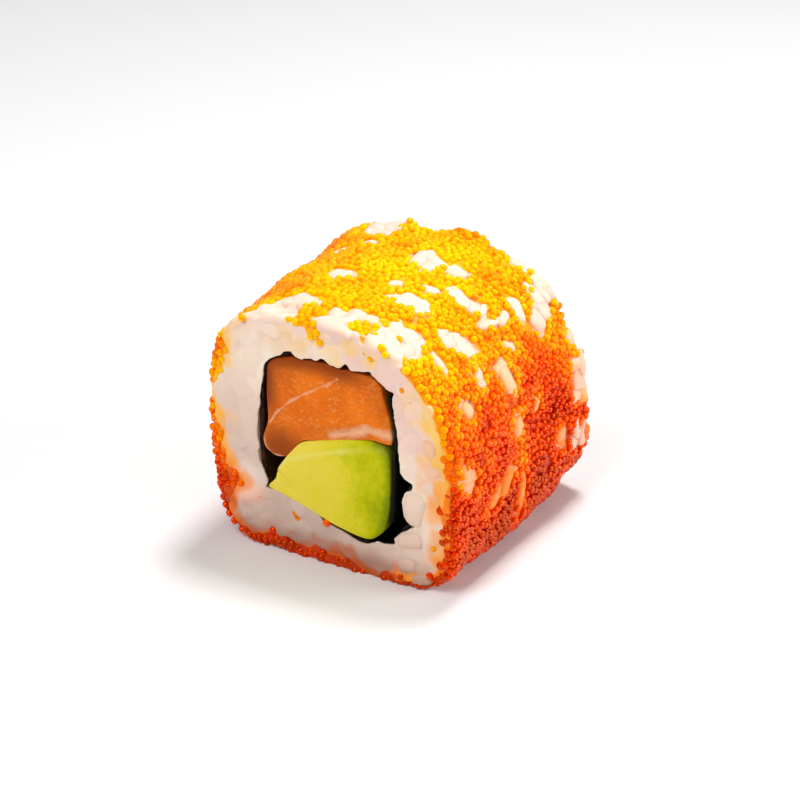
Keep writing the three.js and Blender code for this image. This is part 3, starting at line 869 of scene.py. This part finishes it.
class Finish(Tree):
    """A material, with the patterns that its pieces share."""

    def __init__(self, name):
        self.material = bpy.data.materials.new(name)
        self.material.use_nodes = True
        super().__init__(self.material.node_tree)
        self.tree.nodes.clear()
        self.place = self.node("ShaderNodeTexCoord", out="Object")

    def attribute(self, name):
        return self.node("ShaderNodeAttribute", {"attribute_name": name}, out="Fac")

    def axis(self, index):
        """The place's x, y or z, in metres."""
        return self.node("ShaderNodeSeparateXYZ", {}, {0: self.place}, out=index)

    def noise(self, size, detail=2.0, place=None, distortion=0.0):
        """Noise from 0 to 1 whose marks are about size millimetres across."""
        return self.node("ShaderNodeTexNoise", {}, {
            "Vector": place or self.place, "Scale": 1 / (size * MM), "Detail": detail,
            "Distortion": distortion})

    def stretched(self, scale, turn):
        return self.node("ShaderNodeMapping", {}, {
            "Vector": self.place, "Scale": scale, "Rotation": turn})

    def step(self, value, low, high):
        """0 below low, 1 above high and a smooth rise between."""
        return self.node("ShaderNodeMapRange", {"interpolation_type": "SMOOTHSTEP"}, {
            "Value": value, "From Min": low, "From Max": high})

    def mix(self, share, one, other, blend="MIX"):
        return self.node("ShaderNodeMix", {"data_type": "RGBA", "blend_type": blend},
                         {0: share, 6: one, 7: other}, out=2)

    def ramp(self, value, stops):
        return self.node("ShaderNodeValToRGB", {"stops": stops}, {"Fac": value})

    def bump(self, height, strength, distance, under=None):
        sockets = {"Height": height, "Strength": strength, "Distance": distance * MM}
        if under is not None:
            sockets["Normal"] = under
        return self.node("ShaderNodeBump", {}, sockets)

    def surface(self, **sockets):
        named = {name.replace("_", " "): value for name, value in sockets.items()}
        shader = self.node("ShaderNodeBsdfPrincipled", {}, named)
        self.node("ShaderNodeOutputMaterial", {}, {"Surface": shader})
        return self.material


# An egg's colours, from yellow to deep red. The darkest end stands for painted shade low on the
# roll.
ROE_COLOURS = [
    (0.0, (1.0, 0.66, 0.0)), (0.25, (1.0, 0.45, 0.0)), (0.5, (0.93, 0.14, 0.0)),
    (0.75, (0.66, 0.008, 0.0)), (1.0, (0.33, 0.001, 0.0)),
]

# The same of the liquor between the eggs.
BED_COLOURS = [
    (0.0, (1.0, 0.55, 0.0)), (0.25, (1.0, 0.34, 0.0)), (0.5, (0.80, 0.15, 0.0)),
    (0.75, (0.54, 0.035, 0.0)), (1.0, (0.34, 0.005, 0.0)),
]

# How much of its colour the roe gives off: a painted glow that stands in for the light shining
# through it. The rice under the roe gives off the bed's colour by the same amount.
PAINTED_GLOW = 0.1


def rice_finish():
    finish = Finish("sticky_rice")
    tone, crease = finish.attribute("tone"), finish.attribute("crease")
    stain, cover = finish.attribute("stain"), finish.attribute("cover")
    warmth = finish.attribute("warmth")
    mottle = finish.noise(2.2, 3.0)
    speckle = finish.noise(0.35, 2.0)
    height, side = finish.axis(2), finish.axis(0)
    across = side.math("MAXIMUM", 0.0)
    # Painted shade: darker low down and on the left, lighter above and on the right.
    painted_height_shade = finish.ramp((height + across * 1.15 + mottle * 0.006) / 0.04, [
        (0.1, (0.58, 0.43, 0.365)), (0.38, (0.71, 0.55, 0.465)), (0.6, (0.83, 0.65, 0.545)),
        (0.8, (0.96, 0.81, 0.67)), (0.97, (0.92, 0.67, 0.58))])
    darkened = finish.step(tone * 0.6 + mottle * 0.8, 0.3, 1.1)
    pale = finish.mix(darkened * 0.5, painted_height_shade, (0.88, 0.80, 0.76), "MULTIPLY")
    # Painted shade, browner at the foot, and lighter above that at the lower left.
    painted_foot_shade = finish.step(height, 0.005, 0.001)
    with_foot_shade = finish.mix(painted_foot_shade * 0.9, pale, (0.58, 0.42, 0.36), "MULTIPLY")
    seat = finish.step(side, -0.009, -0.014) * finish.step(height, 0.014, 0.009)
    seat = seat * finish.step(height + mottle * 0.004, 0.005, 0.011)
    bright = finish.mix(seat * 0.8, with_foot_shade, (1.0, 0.89, 0.79))
    # Painted shade: darker and browner in the creases, on the right side and on some lumps.
    with_painted_shade = finish.mix(crease * 0.4, bright, (0.66, 0.42, 0.30))
    # The stains take their colour from the roe's warmth, so they share its painted light and
    # shade.
    dye = finish.ramp(warmth, [
        (0.0, (1.0, 0.66, 0.16)), (0.4, (1.0, 0.40, 0.06)), (0.65, (0.92, 0.20, 0.01)),
        (0.9, (0.44, 0.06, 0.008))])
    stained = finish.mix(finish.step(stain + mottle * 0.3 - 0.15, 0.0, 1.0), with_painted_shade, dye)
    roe = finish.ramp(warmth * 0.9 + speckle * 0.16, BED_COLOURS)
    under_roe = finish.step(cover, 0.15, 0.6)
    colour = finish.mix(under_roe, stained, roe)
    relief = finish.bump(mottle, 0.3, 0.2)
    grit = finish.bump(speckle, 0.4, 0.05, relief)
    # The rice under the roe gives off the bed's colour: a painted glow.
    return finish.surface(
        Base_Color=colour, Roughness=finish.noise(0.8) * 0.25 + 0.35, Normal=grit,
        Subsurface_Weight=0.4, Subsurface_Radius=(1.0, 0.7, 0.5), Subsurface_Scale=0.0004,
        Specular_IOR_Level=0.2, Emission_Color=finish.mix(under_roe, (0.0, 0.0, 0.0), roe),
        Emission_Strength=PAINTED_GLOW)


def roe_finish():
    finish = Finish("fish_roe")
    warmth, tone = finish.attribute("warmth"), finish.attribute("tone")
    colour = finish.ramp(warmth + tone * 0.16 - 0.08, ROE_COLOURS)
    swirl = finish.noise(0.5, 1.0)
    deep = finish.mix(finish.step(swirl, 0.35, 0.7) * 0.2, colour, (0.94, 0.06, 0.0))
    # The eggs give off their own colour: a painted glow.
    return finish.surface(
        Base_Color=deep, Roughness=swirl * 0.08 + 0.08, Normal=finish.bump(swirl, 0.1, 0.04),
        Subsurface_Weight=0.7, Subsurface_Radius=(1.0, 0.4, 0.05), Subsurface_Scale=0.0008,
        IOR=1.9, Specular_IOR_Level=0.9, Specular_Tint=(1.0, 0.26, 0.0, 1),
        Emission_Color=deep, Emission_Strength=PAINTED_GLOW)


def salmon_finish():
    finish = Finish("raw_salmon")
    fat = finish.attribute("fat")
    rim = finish.attribute("rim")
    fibre = finish.noise(0.5, 4.0, finish.stretched((1.0, 0.35, 1.6), (0, 0.7, 0)), 0.6)
    clouding = finish.noise(4.0, 2.0)
    flesh = finish.mix(finish.step(clouding, 0.3, 0.75), (0.76, 0.135, 0.0),
                       (0.88, 0.19, 0.001))
    streaked = finish.mix(finish.step(fibre, 0.48, 0.78) * 0.75, flesh, (0.92, 0.38, 0.08))
    # Darker at the rim: painted shade along the upper and left edges and the top-left corner, and
    # a darker lower lobe.
    edged = finish.mix((rim + fibre * 0.3 - 0.15) * 0.9, streaked, (0.24, 0.035, 0.003))
    colour = finish.mix(finish.step(fat + fibre * 0.6 - 0.3, 0.1, 1.0), edged,
                        (0.84, 0.44, 0.24))
    return finish.surface(
        Base_Color=colour, Roughness=fibre * 0.3 + 0.2, Normal=finish.bump(fibre, 0.6, 0.12),
        Subsurface_Weight=0.15, Subsurface_Radius=(1.0, 0.3, 0.12), Subsurface_Scale=0.001,
        Specular_IOR_Level=0.1)


def avocado_finish():
    finish = Finish("avocado_flesh")
    rim, green = finish.attribute("rim"), finish.attribute("green")
    mottle = finish.noise(1.2, 4.0)
    fine = finish.noise(0.3, 3.0)
    flesh = finish.ramp(green + mottle * 0.36 + fine * 0.16 - 0.26, [
        (0.0, (0.84, 0.67, 0.08)), (0.35, (0.74, 0.63, 0.03)), (0.6, (0.52, 0.52, 0.0)),
        (0.85, (0.29, 0.34, 0.0)), (1.0, (0.20, 0.24, 0.0))])
    # The rim attribute brings the painted highlight along the ridge.
    colour = finish.mix(rim * (mottle * 0.8 + 0.5), flesh, (0.86, 0.78, 0.24))
    return finish.surface(
        Base_Color=colour, Roughness=mottle * 0.25 + 0.28,
        Normal=finish.bump(fine, 0.25, 0.08, finish.bump(mottle, 0.3, 0.15)),
        Subsurface_Weight=0.15, Subsurface_Radius=(0.8, 0.8, 0.2), Subsurface_Scale=0.001,
        Specular_IOR_Level=0.06)


def nori_finish():
    finish = Finish("seaweed_sheet")
    crinkle = finish.noise(0.6, 5.0, distortion=0.8)
    lip = finish.attribute("lip")
    sheet = finish.mix(finish.step(crinkle, 0.35, 0.75), (0.002, 0.003, 0.002),
                       (0.010, 0.014, 0.007))
    browned = finish.step(finish.axis(0), -0.004, -0.012) * finish.step(crinkle, 0.3, 0.8)
    brown = finish.mix(browned, sheet, (0.06, 0.018, 0.005))
    colour = finish.mix(lip * finish.step(crinkle, 0.5, 0.75), brown, (0.10, 0.025, 0.005))
    return finish.surface(
        Base_Color=colour, Roughness=crinkle * 0.4 + 0.35, Normal=finish.bump(crinkle, 0.7, 0.2),
        Specular_IOR_Level=0.12)


# Fillings.

def filling(name, corners, heart, bevel, values_at, relief):
    """A bar from face to face: rows of points from the middle of one cut face, over its
    edge, along the bar and over the other face."""
    count = FILLING_COLUMNS
    loop = rounded_loop(corners, count)
    heart = np.array(heart)
    trimmed = inset(loop, bevel)
    edge_turns = np.linspace(0, np.pi / 2, FILLING_ROWS["edge"])
    rows = []

    def face_row(share, y):
        rows.append(section_at(heart + (trimmed - heart) * share, y))

    def edge_row(turn, end):
        in_from_end = bevel * (1 - math.cos(turn))
        rows.append(section_at(inset(loop, bevel * (1 - math.sin(turn))),
                               end - math.copysign(in_from_end, end)))

    for share in np.linspace(0.02, 1, FILLING_ROWS["front"]):
        face_row(share, -HALF)
    for turn in edge_turns[1:]:
        edge_row(turn, -HALF)
    for y in np.linspace(-HALF + bevel, HALF - bevel, FILLING_ROWS["bar"])[1:-1]:
        rows.append(section_at(loop, y))
    for turn in edge_turns[::-1][:-1]:
        edge_row(turn, HALF)
    for share in np.linspace(1, 0.02, FILLING_ROWS["rear"]):
        face_row(share, HALF)
    faces = quads(len(rows), count)
    points = np.vstack(rows + [section_at(heart[None, :], y) for y in (-HALF, HALF)])
    first, last = len(points) - 2, len(points) - 1
    end = (len(rows) - 1) * count
    for k in range(count):
        nxt = (k + 1) % count
        faces.append((first, k, nxt))
        faces.append((last, end + nxt, end + k))
    shaped = relief(points, loop)
    return made(name, shaped, faces, values_at(points, loop))


def to_lines(points, lines):
    """Distance in the section from each point to the nearest of some lines."""
    spot = points[:, [0, 2]]
    nearest = np.full(len(points), 99.0)
    for line in lines:
        for a, b in zip(np.array(line)[:-1], np.array(line)[1:]):
            share = np.clip(((spot - a) @ (b - a)) / ((b - a) @ (b - a)), 0, 1)
            nearest = np.minimum(nearest, np.linalg.norm(spot - a - share[:, None] * (b - a),
                                                         axis=1))
    return nearest


def to_loop(points, loop):
    """Distance in the section from each point to a closed loop."""
    return to_lines(points, [np.vstack([loop[::3], loop[:1]])])


def sunk_in(points, depth, everywhere=0.0):
    """Points moved in from the nearer cut face, by a depth that tells at the faces only
    and by one that tells everywhere."""
    at_end = smooth_step(np.abs(points[:, 1]), HALF - 1.2, HALF - 0.2)
    moved = points.copy()
    moved[:, 1] -= np.sign(points[:, 1]) * (everywhere + depth * at_end)
    return moved


def salmon_relief(points, loop):
    dome = 0.14 * fade(to_loop(points, loop), 0, 1.6) + 0.10 * cloud(points, 2.2, 41)
    dome = dome + 0.12 * fade(to_lines(points, SALMON_FAT), 0, 0.5)
    return sunk_in(points, dome, 0.1)


def salmon_values(points, loop):
    wander = 0.25 * cloud(points, 1.5, 44)
    away = to_lines(points, SALMON_FAT[:1]) + wander
    lower = to_lines(points, SALMON_FAT[1:]) + wander
    wide = 0.34 + 0.3 * smooth_step(points[:, 0], -4.0, 0.0)
    share = smooth_step(-away / wide, -1.0, 0.3) * 0.75
    share = np.maximum(share, smooth_step(-lower, -1.5, 0.3) * 0.9)
    hem = to_lines(points, [SALMON_HEM])
    share = np.maximum(share, smooth_step(-hem - wander * 0.5, -0.5, 0.0) * 0.7)
    lobe = np.hypot(points[:, 0] - SALMON_LOBE[0], (points[:, 2] - SALMON_LOBE[1]) * 1.1)
    # Painted shade near the upper and left edges and in the top-left corner; the lower lobe is
    # darker too.
    rim = fade(to_loop(points, loop), 0.2, 3.0) * smooth_step(points[:, 2], 18, 24)
    rim = rim * (1 - 0.75 * smooth_step(points[:, 0], 1.0, 6.5))
    top = np.hypot(points[:, 0] - SALMON_TOP[0], points[:, 2] - SALMON_TOP[1])
    rim = np.maximum(rim, 0.8 - 0.8 * smooth_step(top, 1.0, 7.5))
    rim = np.maximum(rim, 0.95 - 0.95 * smooth_step(lobe, 0.8, 5.8))
    return {"fat": share, "rim": rim}


def above_ridge(points):
    """How far a place of the avocado's face lies above its ridge, from 0 to 1."""
    ridge = np.array(AVOCADO_RIDGE)
    height = np.interp(points[:, 0], ridge[:, 0], ridge[:, 1])
    return np.clip((points[:, 2] - height) / 1.9, 0, 1)


def avocado_relief(points, loop):
    slope = 0.3 * above_ridge(points)
    nick = 0.3 * fade(to_lines(points, [AVOCADO_NICK]), 0, 0.5)
    return sunk_in(points, slope + nick + 0.08 * cloud(points, 2.4, 51))


def avocado_values(points, loop):
    away = to_lines(points, [AVOCADO_RIDGE]) + 0.2 * cloud(points, 1.0, 53)
    # A pale line along the ridge, strongest at the left: a painted highlight.
    ridge = 0.5 * smooth_step(-away, -0.8, 0.1) * (1 - 0.8 * smooth_step(points[:, 0], 0.0, 5.0))
    across = smooth_step(points[:, 0], -9.0, 10.0)
    side = fade(to_loop(points, loop), 0.0, 1.4)
    right = side * smooth_step(points[:, 0], 3.0, 8.0)
    green = 0.75 * across + 0.12 * cloud(points, 3.6, 54) + 0.3 * right
    return {"rim": ridge, "green": green}


def nori_piece():
    """The seaweed tube, crinkled, with its lips a little ragged at both faces."""
    loop = SHEET_LOOP[::3]
    lining = inset(SHEET_LOOP, SHEET_THICKNESS)[::3]
    reach = HALF - SHEET_SHORT
    places = np.linspace(-reach, reach, 60)
    rows = [section_at(loop, y) for y in places] + [section_at(lining, y) for y in -places]
    points = np.vstack(rows)
    out = np.repeat([1.0, -1.0], len(points) // 2)
    middle = points[:, [0, 2]] - HEART
    middle = middle / np.linalg.norm(middle, axis=1, keepdims=True)
    waves = 0.08 * cloud(points, 1.2, 61) + 0.05 * cloud(points, 0.5, 62)
    lip = smooth_step(np.abs(points[:, 1]), reach - 0.6, reach)
    shaped = points.copy()
    shaped[:, [0, 2]] += middle * (waves - 0.02 * out)[:, None]
    ragged = 0.08 * cloud(points * [1, 0, 1], 1.3, 63) + 0.04 * cloud(points * [1, 0, 1], 0.5, 64)
    shaped[:, 1] += np.sign(points[:, 1]) * lip * ragged
    faces = quads(len(rows), len(loop), wrap_rows=True)
    flap, flap_faces = sheet_end(len(shaped))
    shaped = np.vstack([shaped, flap])
    lip = np.concatenate([lip, np.zeros(len(flap))])
    return made("seaweed_tube", shaped, faces + flap_faces, {"lip": lip})


def sheet_end(start):
    """The inner end of the seaweed sheet, which lies against the fillings. It is partly painted
    shade: a dark sheet that blacks out the gap beside the avocado.
    """
    steps = np.linspace(0, len(FLAP) - 1, 40)
    line = np.stack([np.interp(steps, np.arange(len(FLAP)), places) for places in zip(*FLAP)], 1)
    run = np.gradient(line, axis=0)
    run = run / np.linalg.norm(run, axis=1, keepdims=True)
    side = np.stack([-run[:, 1], run[:, 0]], 1) * FLAP_THICKNESS / 2
    loop = np.vstack([line + side, (line - side)[::-1]])
    reach = HALF - FLAP_SHORT
    rows = [section_at(loop, y) for y in np.linspace(-reach, reach, 30)]
    count = len(loop)
    points = np.vstack(rows)
    faces = [tuple(start + k for k in face) for face in quads(len(rows), count)]
    last = start + (len(rows) - 1) * count
    for k in range(len(line) - 1):
        other = count - 1 - k
        faces.append((start + k, start + k + 1, start + other - 1, start + other))
        faces.append((last + other, last + other - 1, last + k + 1, last + k))
    return points, faces


# Roe.

def coat_surface(first, last):
    """The surface that the roe is scattered over, from one share of the way round to
    another: the wall, and past its front rim a little way down the cut face."""
    around = np.linspace(first, last, COAT_COLUMNS)
    walks = np.concatenate([np.linspace(-4.0, -0.4, 10), np.linspace(0.3, LENGTH - 0.3, 110)])
    rows, values = [], []
    for walk in walks:
        if walk < 0:
            edge, out, _ = wall(around, 0.0, 0.0)
            points = edge + out * walk + np.array([0.0, 0.2, 0.0])
        else:
            points, _, _ = wall(around, walk, 0.0)
            points, _, _ = wall(around, walk, coat_lift(points))
        rows.append(points)
        values.append(roll_values(around, np.full(COAT_COLUMNS, walk), points))
    points = np.vstack(rows)
    cover = np.concatenate([v[0] for v in values])
    warmth = np.concatenate([v[1] for v in values])
    # No egg lies below the floor.
    cover = np.where(points[:, 2] < -0.1, 0, cover)
    # The coat stays open where it ends, so no face joins its last column to its first.
    faces = [face for face in quads(len(rows), COAT_COLUMNS)
             if max(face) - min(face) <= COAT_COLUMNS + 1]
    return made("coat", points, faces, {"cover": cover, "warmth": warmth})


def egg_tree(scattered):
    """Geometry Nodes that set a fish egg at points: scattered over a surface where its
    cover allows, or at each point of the mesh."""
    group = bpy.data.node_groups.new("fish_eggs", "GeometryNodeTree")
    face = group.interface
    face.new_socket("Geometry", in_out="INPUT", socket_type="NodeSocketGeometry")
    for name, kind in (("Egg size", "Float"), ("Spacing", "Float"), ("Lift", "Float"),
                       ("Lift spread", "Float"), ("Seed", "Int"), ("Finish", "Material")):
        face.new_socket(name, in_out="INPUT", socket_type="NodeSocket" + kind)
    face.new_socket("Geometry", in_out="OUTPUT", socket_type="NodeSocketGeometry")
    tree = Tree(group)
    entry = tree.node("NodeGroupInput").socket.node

    def given(name):
        return Value(tree, entry.outputs[name])

    def drawn(low, high, seed):
        return tree.node("FunctionNodeRandomValue", {"data_type": "FLOAT"},
                         {2: low, 3: high, "Seed": seed}, out=1)

    if scattered:
        cover = tree.node("GeometryNodeInputNamedAttribute", {"data_type": "FLOAT"},
                          {"Name": "cover"})
        points = tree.node("GeometryNodeDistributePointsOnFaces",
                           {"distribute_method": "POISSON"},
                           {"Mesh": given("Geometry"), "Distance Min": given("Spacing"),
                            "Density Max": MOST_EGGS, "Density Factor": cover,
                            "Seed": given("Seed")})
        outputs = points.socket.node.outputs
        out, turned = Value(tree, outputs["Normal"]), Value(tree, outputs["Rotation"])
    else:
        points = tree.node("GeometryNodeMeshToPoints", {}, {"Mesh": given("Geometry")})
        out = tree.node("GeometryNodeInputNormal")
        turned = (1.57, 0.0, 0.0)
    raised = given("Lift") + drawn(-1.0, 1.0, 3) * given("Lift spread")
    offset = tree.node("ShaderNodeVectorMath", {"operation": "SCALE"},
                       {0: out, "Scale": raised})
    moved = tree.node("GeometryNodeSetPosition", {}, {"Geometry": points, "Offset": offset})
    egg = tree.node("GeometryNodeMeshIcoSphere", {}, {
        "Radius": given("Egg size") * 0.5, "Subdivisions": 2})
    size = drawn(0.88, 1.1, 5)
    squat = tree.node("ShaderNodeCombineXYZ", {}, {0: size, 1: size, 2: size * 0.8})
    eggs = tree.node("GeometryNodeInstanceOnPoints", {}, {
        "Points": moved, "Instance": egg, "Rotation": turned, "Scale": squat})
    toned = tree.node("GeometryNodeStoreNamedAttribute",
                      {"data_type": "FLOAT", "domain": "INSTANCE"},
                      {"Geometry": eggs, "Name": "tone", "Value": drawn(0.0, 1.0, 7)})
    joined = tree.node("GeometryNodeRealizeInstances", {}, {"Geometry": toned})
    smooth = tree.node("GeometryNodeSetShadeSmooth", {}, {0: joined})
    dressed = tree.node("GeometryNodeSetMaterial", {}, {
        "Geometry": smooth, "Material": given("Finish")})
    tree.node("NodeGroupOutput", {}, {"Geometry": dressed})
    return group


def laid_eggs(surface, name, group, sizes):
    """The eggs that a tree sets on a surface, as a plain mesh object."""
    modifier = surface.modifiers.new("eggs", "NODES")
    modifier.node_group = group
    for item in group.interface.items_tree:
        if item.in_out == "INPUT" and item.name in sizes:
            modifier[item.identifier] = sizes[item.name]
    bpy.context.view_layer.update()
    evaluated = surface.evaluated_get(bpy.context.evaluated_depsgraph_get())
    mesh = bpy.data.meshes.new_from_object(evaluated)
    surface.modifiers.remove(modifier)
    flat = np.zeros(len(mesh.vertices) * 3, np.float32)
    mesh.vertices.foreach_get("co", flat)
    flat[2::3] = np.maximum(flat[2::3], 0)
    mesh.vertices.foreach_set("co", flat)
    mesh.name = name
    return linked(name, mesh)


def roe_pieces(finish):
    """The coat's eggs in two pieces, and the single eggs on the front face."""
    group = egg_tree(scattered=True)
    sizes = {"Egg size": EGG * MM, "Finish": finish}
    coats = []
    # Two pieces, because the whole coat has too many triangles for one.
    for name, first, last, seed in (("roe_above", 0.10, 0.56, 5), ("roe_below", 0.56, 1.10, 8)):
        coat = coat_surface(first, last)
        coats.append(laid_eggs(coat, name, group, {
            **sizes, "Spacing": SPACING * MM, "Lift": 0.04 * MM, "Lift spread": 0.10 * MM,
            "Seed": seed}))
        bpy.data.objects.remove(coat)
    stray_points = [(x, -HALF + 0.55 * EGG - EGG * stands, z) for x, z, _, stands in STRAYS]
    marks = made("strays", stray_points, [], {"warmth": [warm for _, _, warm, _ in STRAYS]})
    strays = laid_eggs(marks, "roe_strays", egg_tree(scattered=False), {
        **sizes, "Lift": 0.0, "Lift spread": 0.0, "Seed": 3})
    bpy.data.objects.remove(marks)
    return *coats, strays


# Pieces.

rice_look = rice_finish()
rice = rice_piece()
grains = grain_piece()
for piece in (rice, grains):
    piece.data.materials.append(rice_look)
nori = nori_piece()
nori.data.materials.append(nori_finish())
salmon = filling("salmon_bar", SALMON_CORNERS, SALMON_HEART, 0.3, salmon_values, salmon_relief)
salmon.data.materials.append(salmon_finish())
avocado = filling("avocado_wedge", AVOCADO_CORNERS, AVOCADO_HEART, 0.2, avocado_values,
                  avocado_relief)
avocado.data.materials.append(avocado_finish())
roe_above, roe_below, roe_strays = roe_pieces(roe_finish())

for piece, slot in ((rice, "rice"), (grains, "rice"), (roe_above, "roe"),
                    (roe_below, "roe"), (roe_strays, "roe"), (nori, "nori"),
                    (salmon, "salmon"), (avocado, "avocado")):
    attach(piece, "root")
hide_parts("rice")
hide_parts("nori")
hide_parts("salmon")
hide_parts("avocado")

# Floor, light and camera.

# Half the floor's width, in metres.
FLOOR = 3.0
floor_mesh = bpy.data.meshes.new("floor")
floor_mesh.from_pydata([(-FLOOR, -FLOOR, 0), (FLOOR, -FLOOR, 0), (FLOOR, FLOOR, 0),
                        (-FLOOR, FLOOR, 0)], [], [(0, 1, 2, 3)])
floor = linked("floor", floor_mesh)
floor_finish = Finish("pale_floor")
grey = floor_finish.noise(40.0, 2.0)
floor_mesh.materials.append(floor_finish.surface(
    Base_Color=floor_finish.mix(grey, (0.80, 0.80, 0.80), (0.83, 0.83, 0.83)), Roughness=0.9))

world = bpy.data.worlds.new("studio")
bpy.context.scene.world = world
world.use_nodes = True
backdrop = world.node_tree.nodes["Background"]
backdrop.inputs["Color"].default_value = (1.0, 0.99, 0.98, 1)
backdrop.inputs["Strength"].default_value = 0.16

# The point that the camera and the lamps look at. From it, each lamp's azimuth,
# elevation, distance, width and power, and the camera's azimuth, elevation and distance.
MIDDLE = Vector((SHIFT[0] * MM, SHIFT[1] * MM, 16.97 * MM))
LAMPS = [
    ("overhead", 175, 72, 0.4, 0.1, 1.2), ("front_left", -15, 50, 0.5, 0.3, 1.62),
    ("right", 110, 20, 0.5, 0.2, 1.6),
]
VIEW = (29, 28, 0.3748)


def aimed(name, data, azimuth, elevation, distance):
    """A lamp or a camera that looks at the middle of the roll."""
    a, e = math.radians(azimuth), math.radians(elevation)
    back = Vector((math.sin(a) * math.cos(e), -math.cos(a) * math.cos(e), math.sin(e)))
    piece = linked(name, data)
    piece.location = MIDDLE + back * distance
    piece.rotation_euler = back.to_track_quat("Z", "Y").to_euler()
    return piece


for name, azimuth, elevation, distance, size, power in LAMPS:
    lamp = bpy.data.lights.new(name, "AREA")
    lamp.size = size
    lamp.energy = power
    aimed(name, lamp, azimuth, elevation, distance)

camera_data = bpy.data.cameras.new("camera")
camera_data.lens = 121.5
camera_data.sensor_width = 36
camera_data.shift_x = 0.0004
camera_data.shift_y = 0.0022
bpy.context.scene.camera = aimed("camera", camera_data, *VIEW)
bpy.context.scene.view_settings.view_transform = "Standard"

bpy.context.view_layer.update()
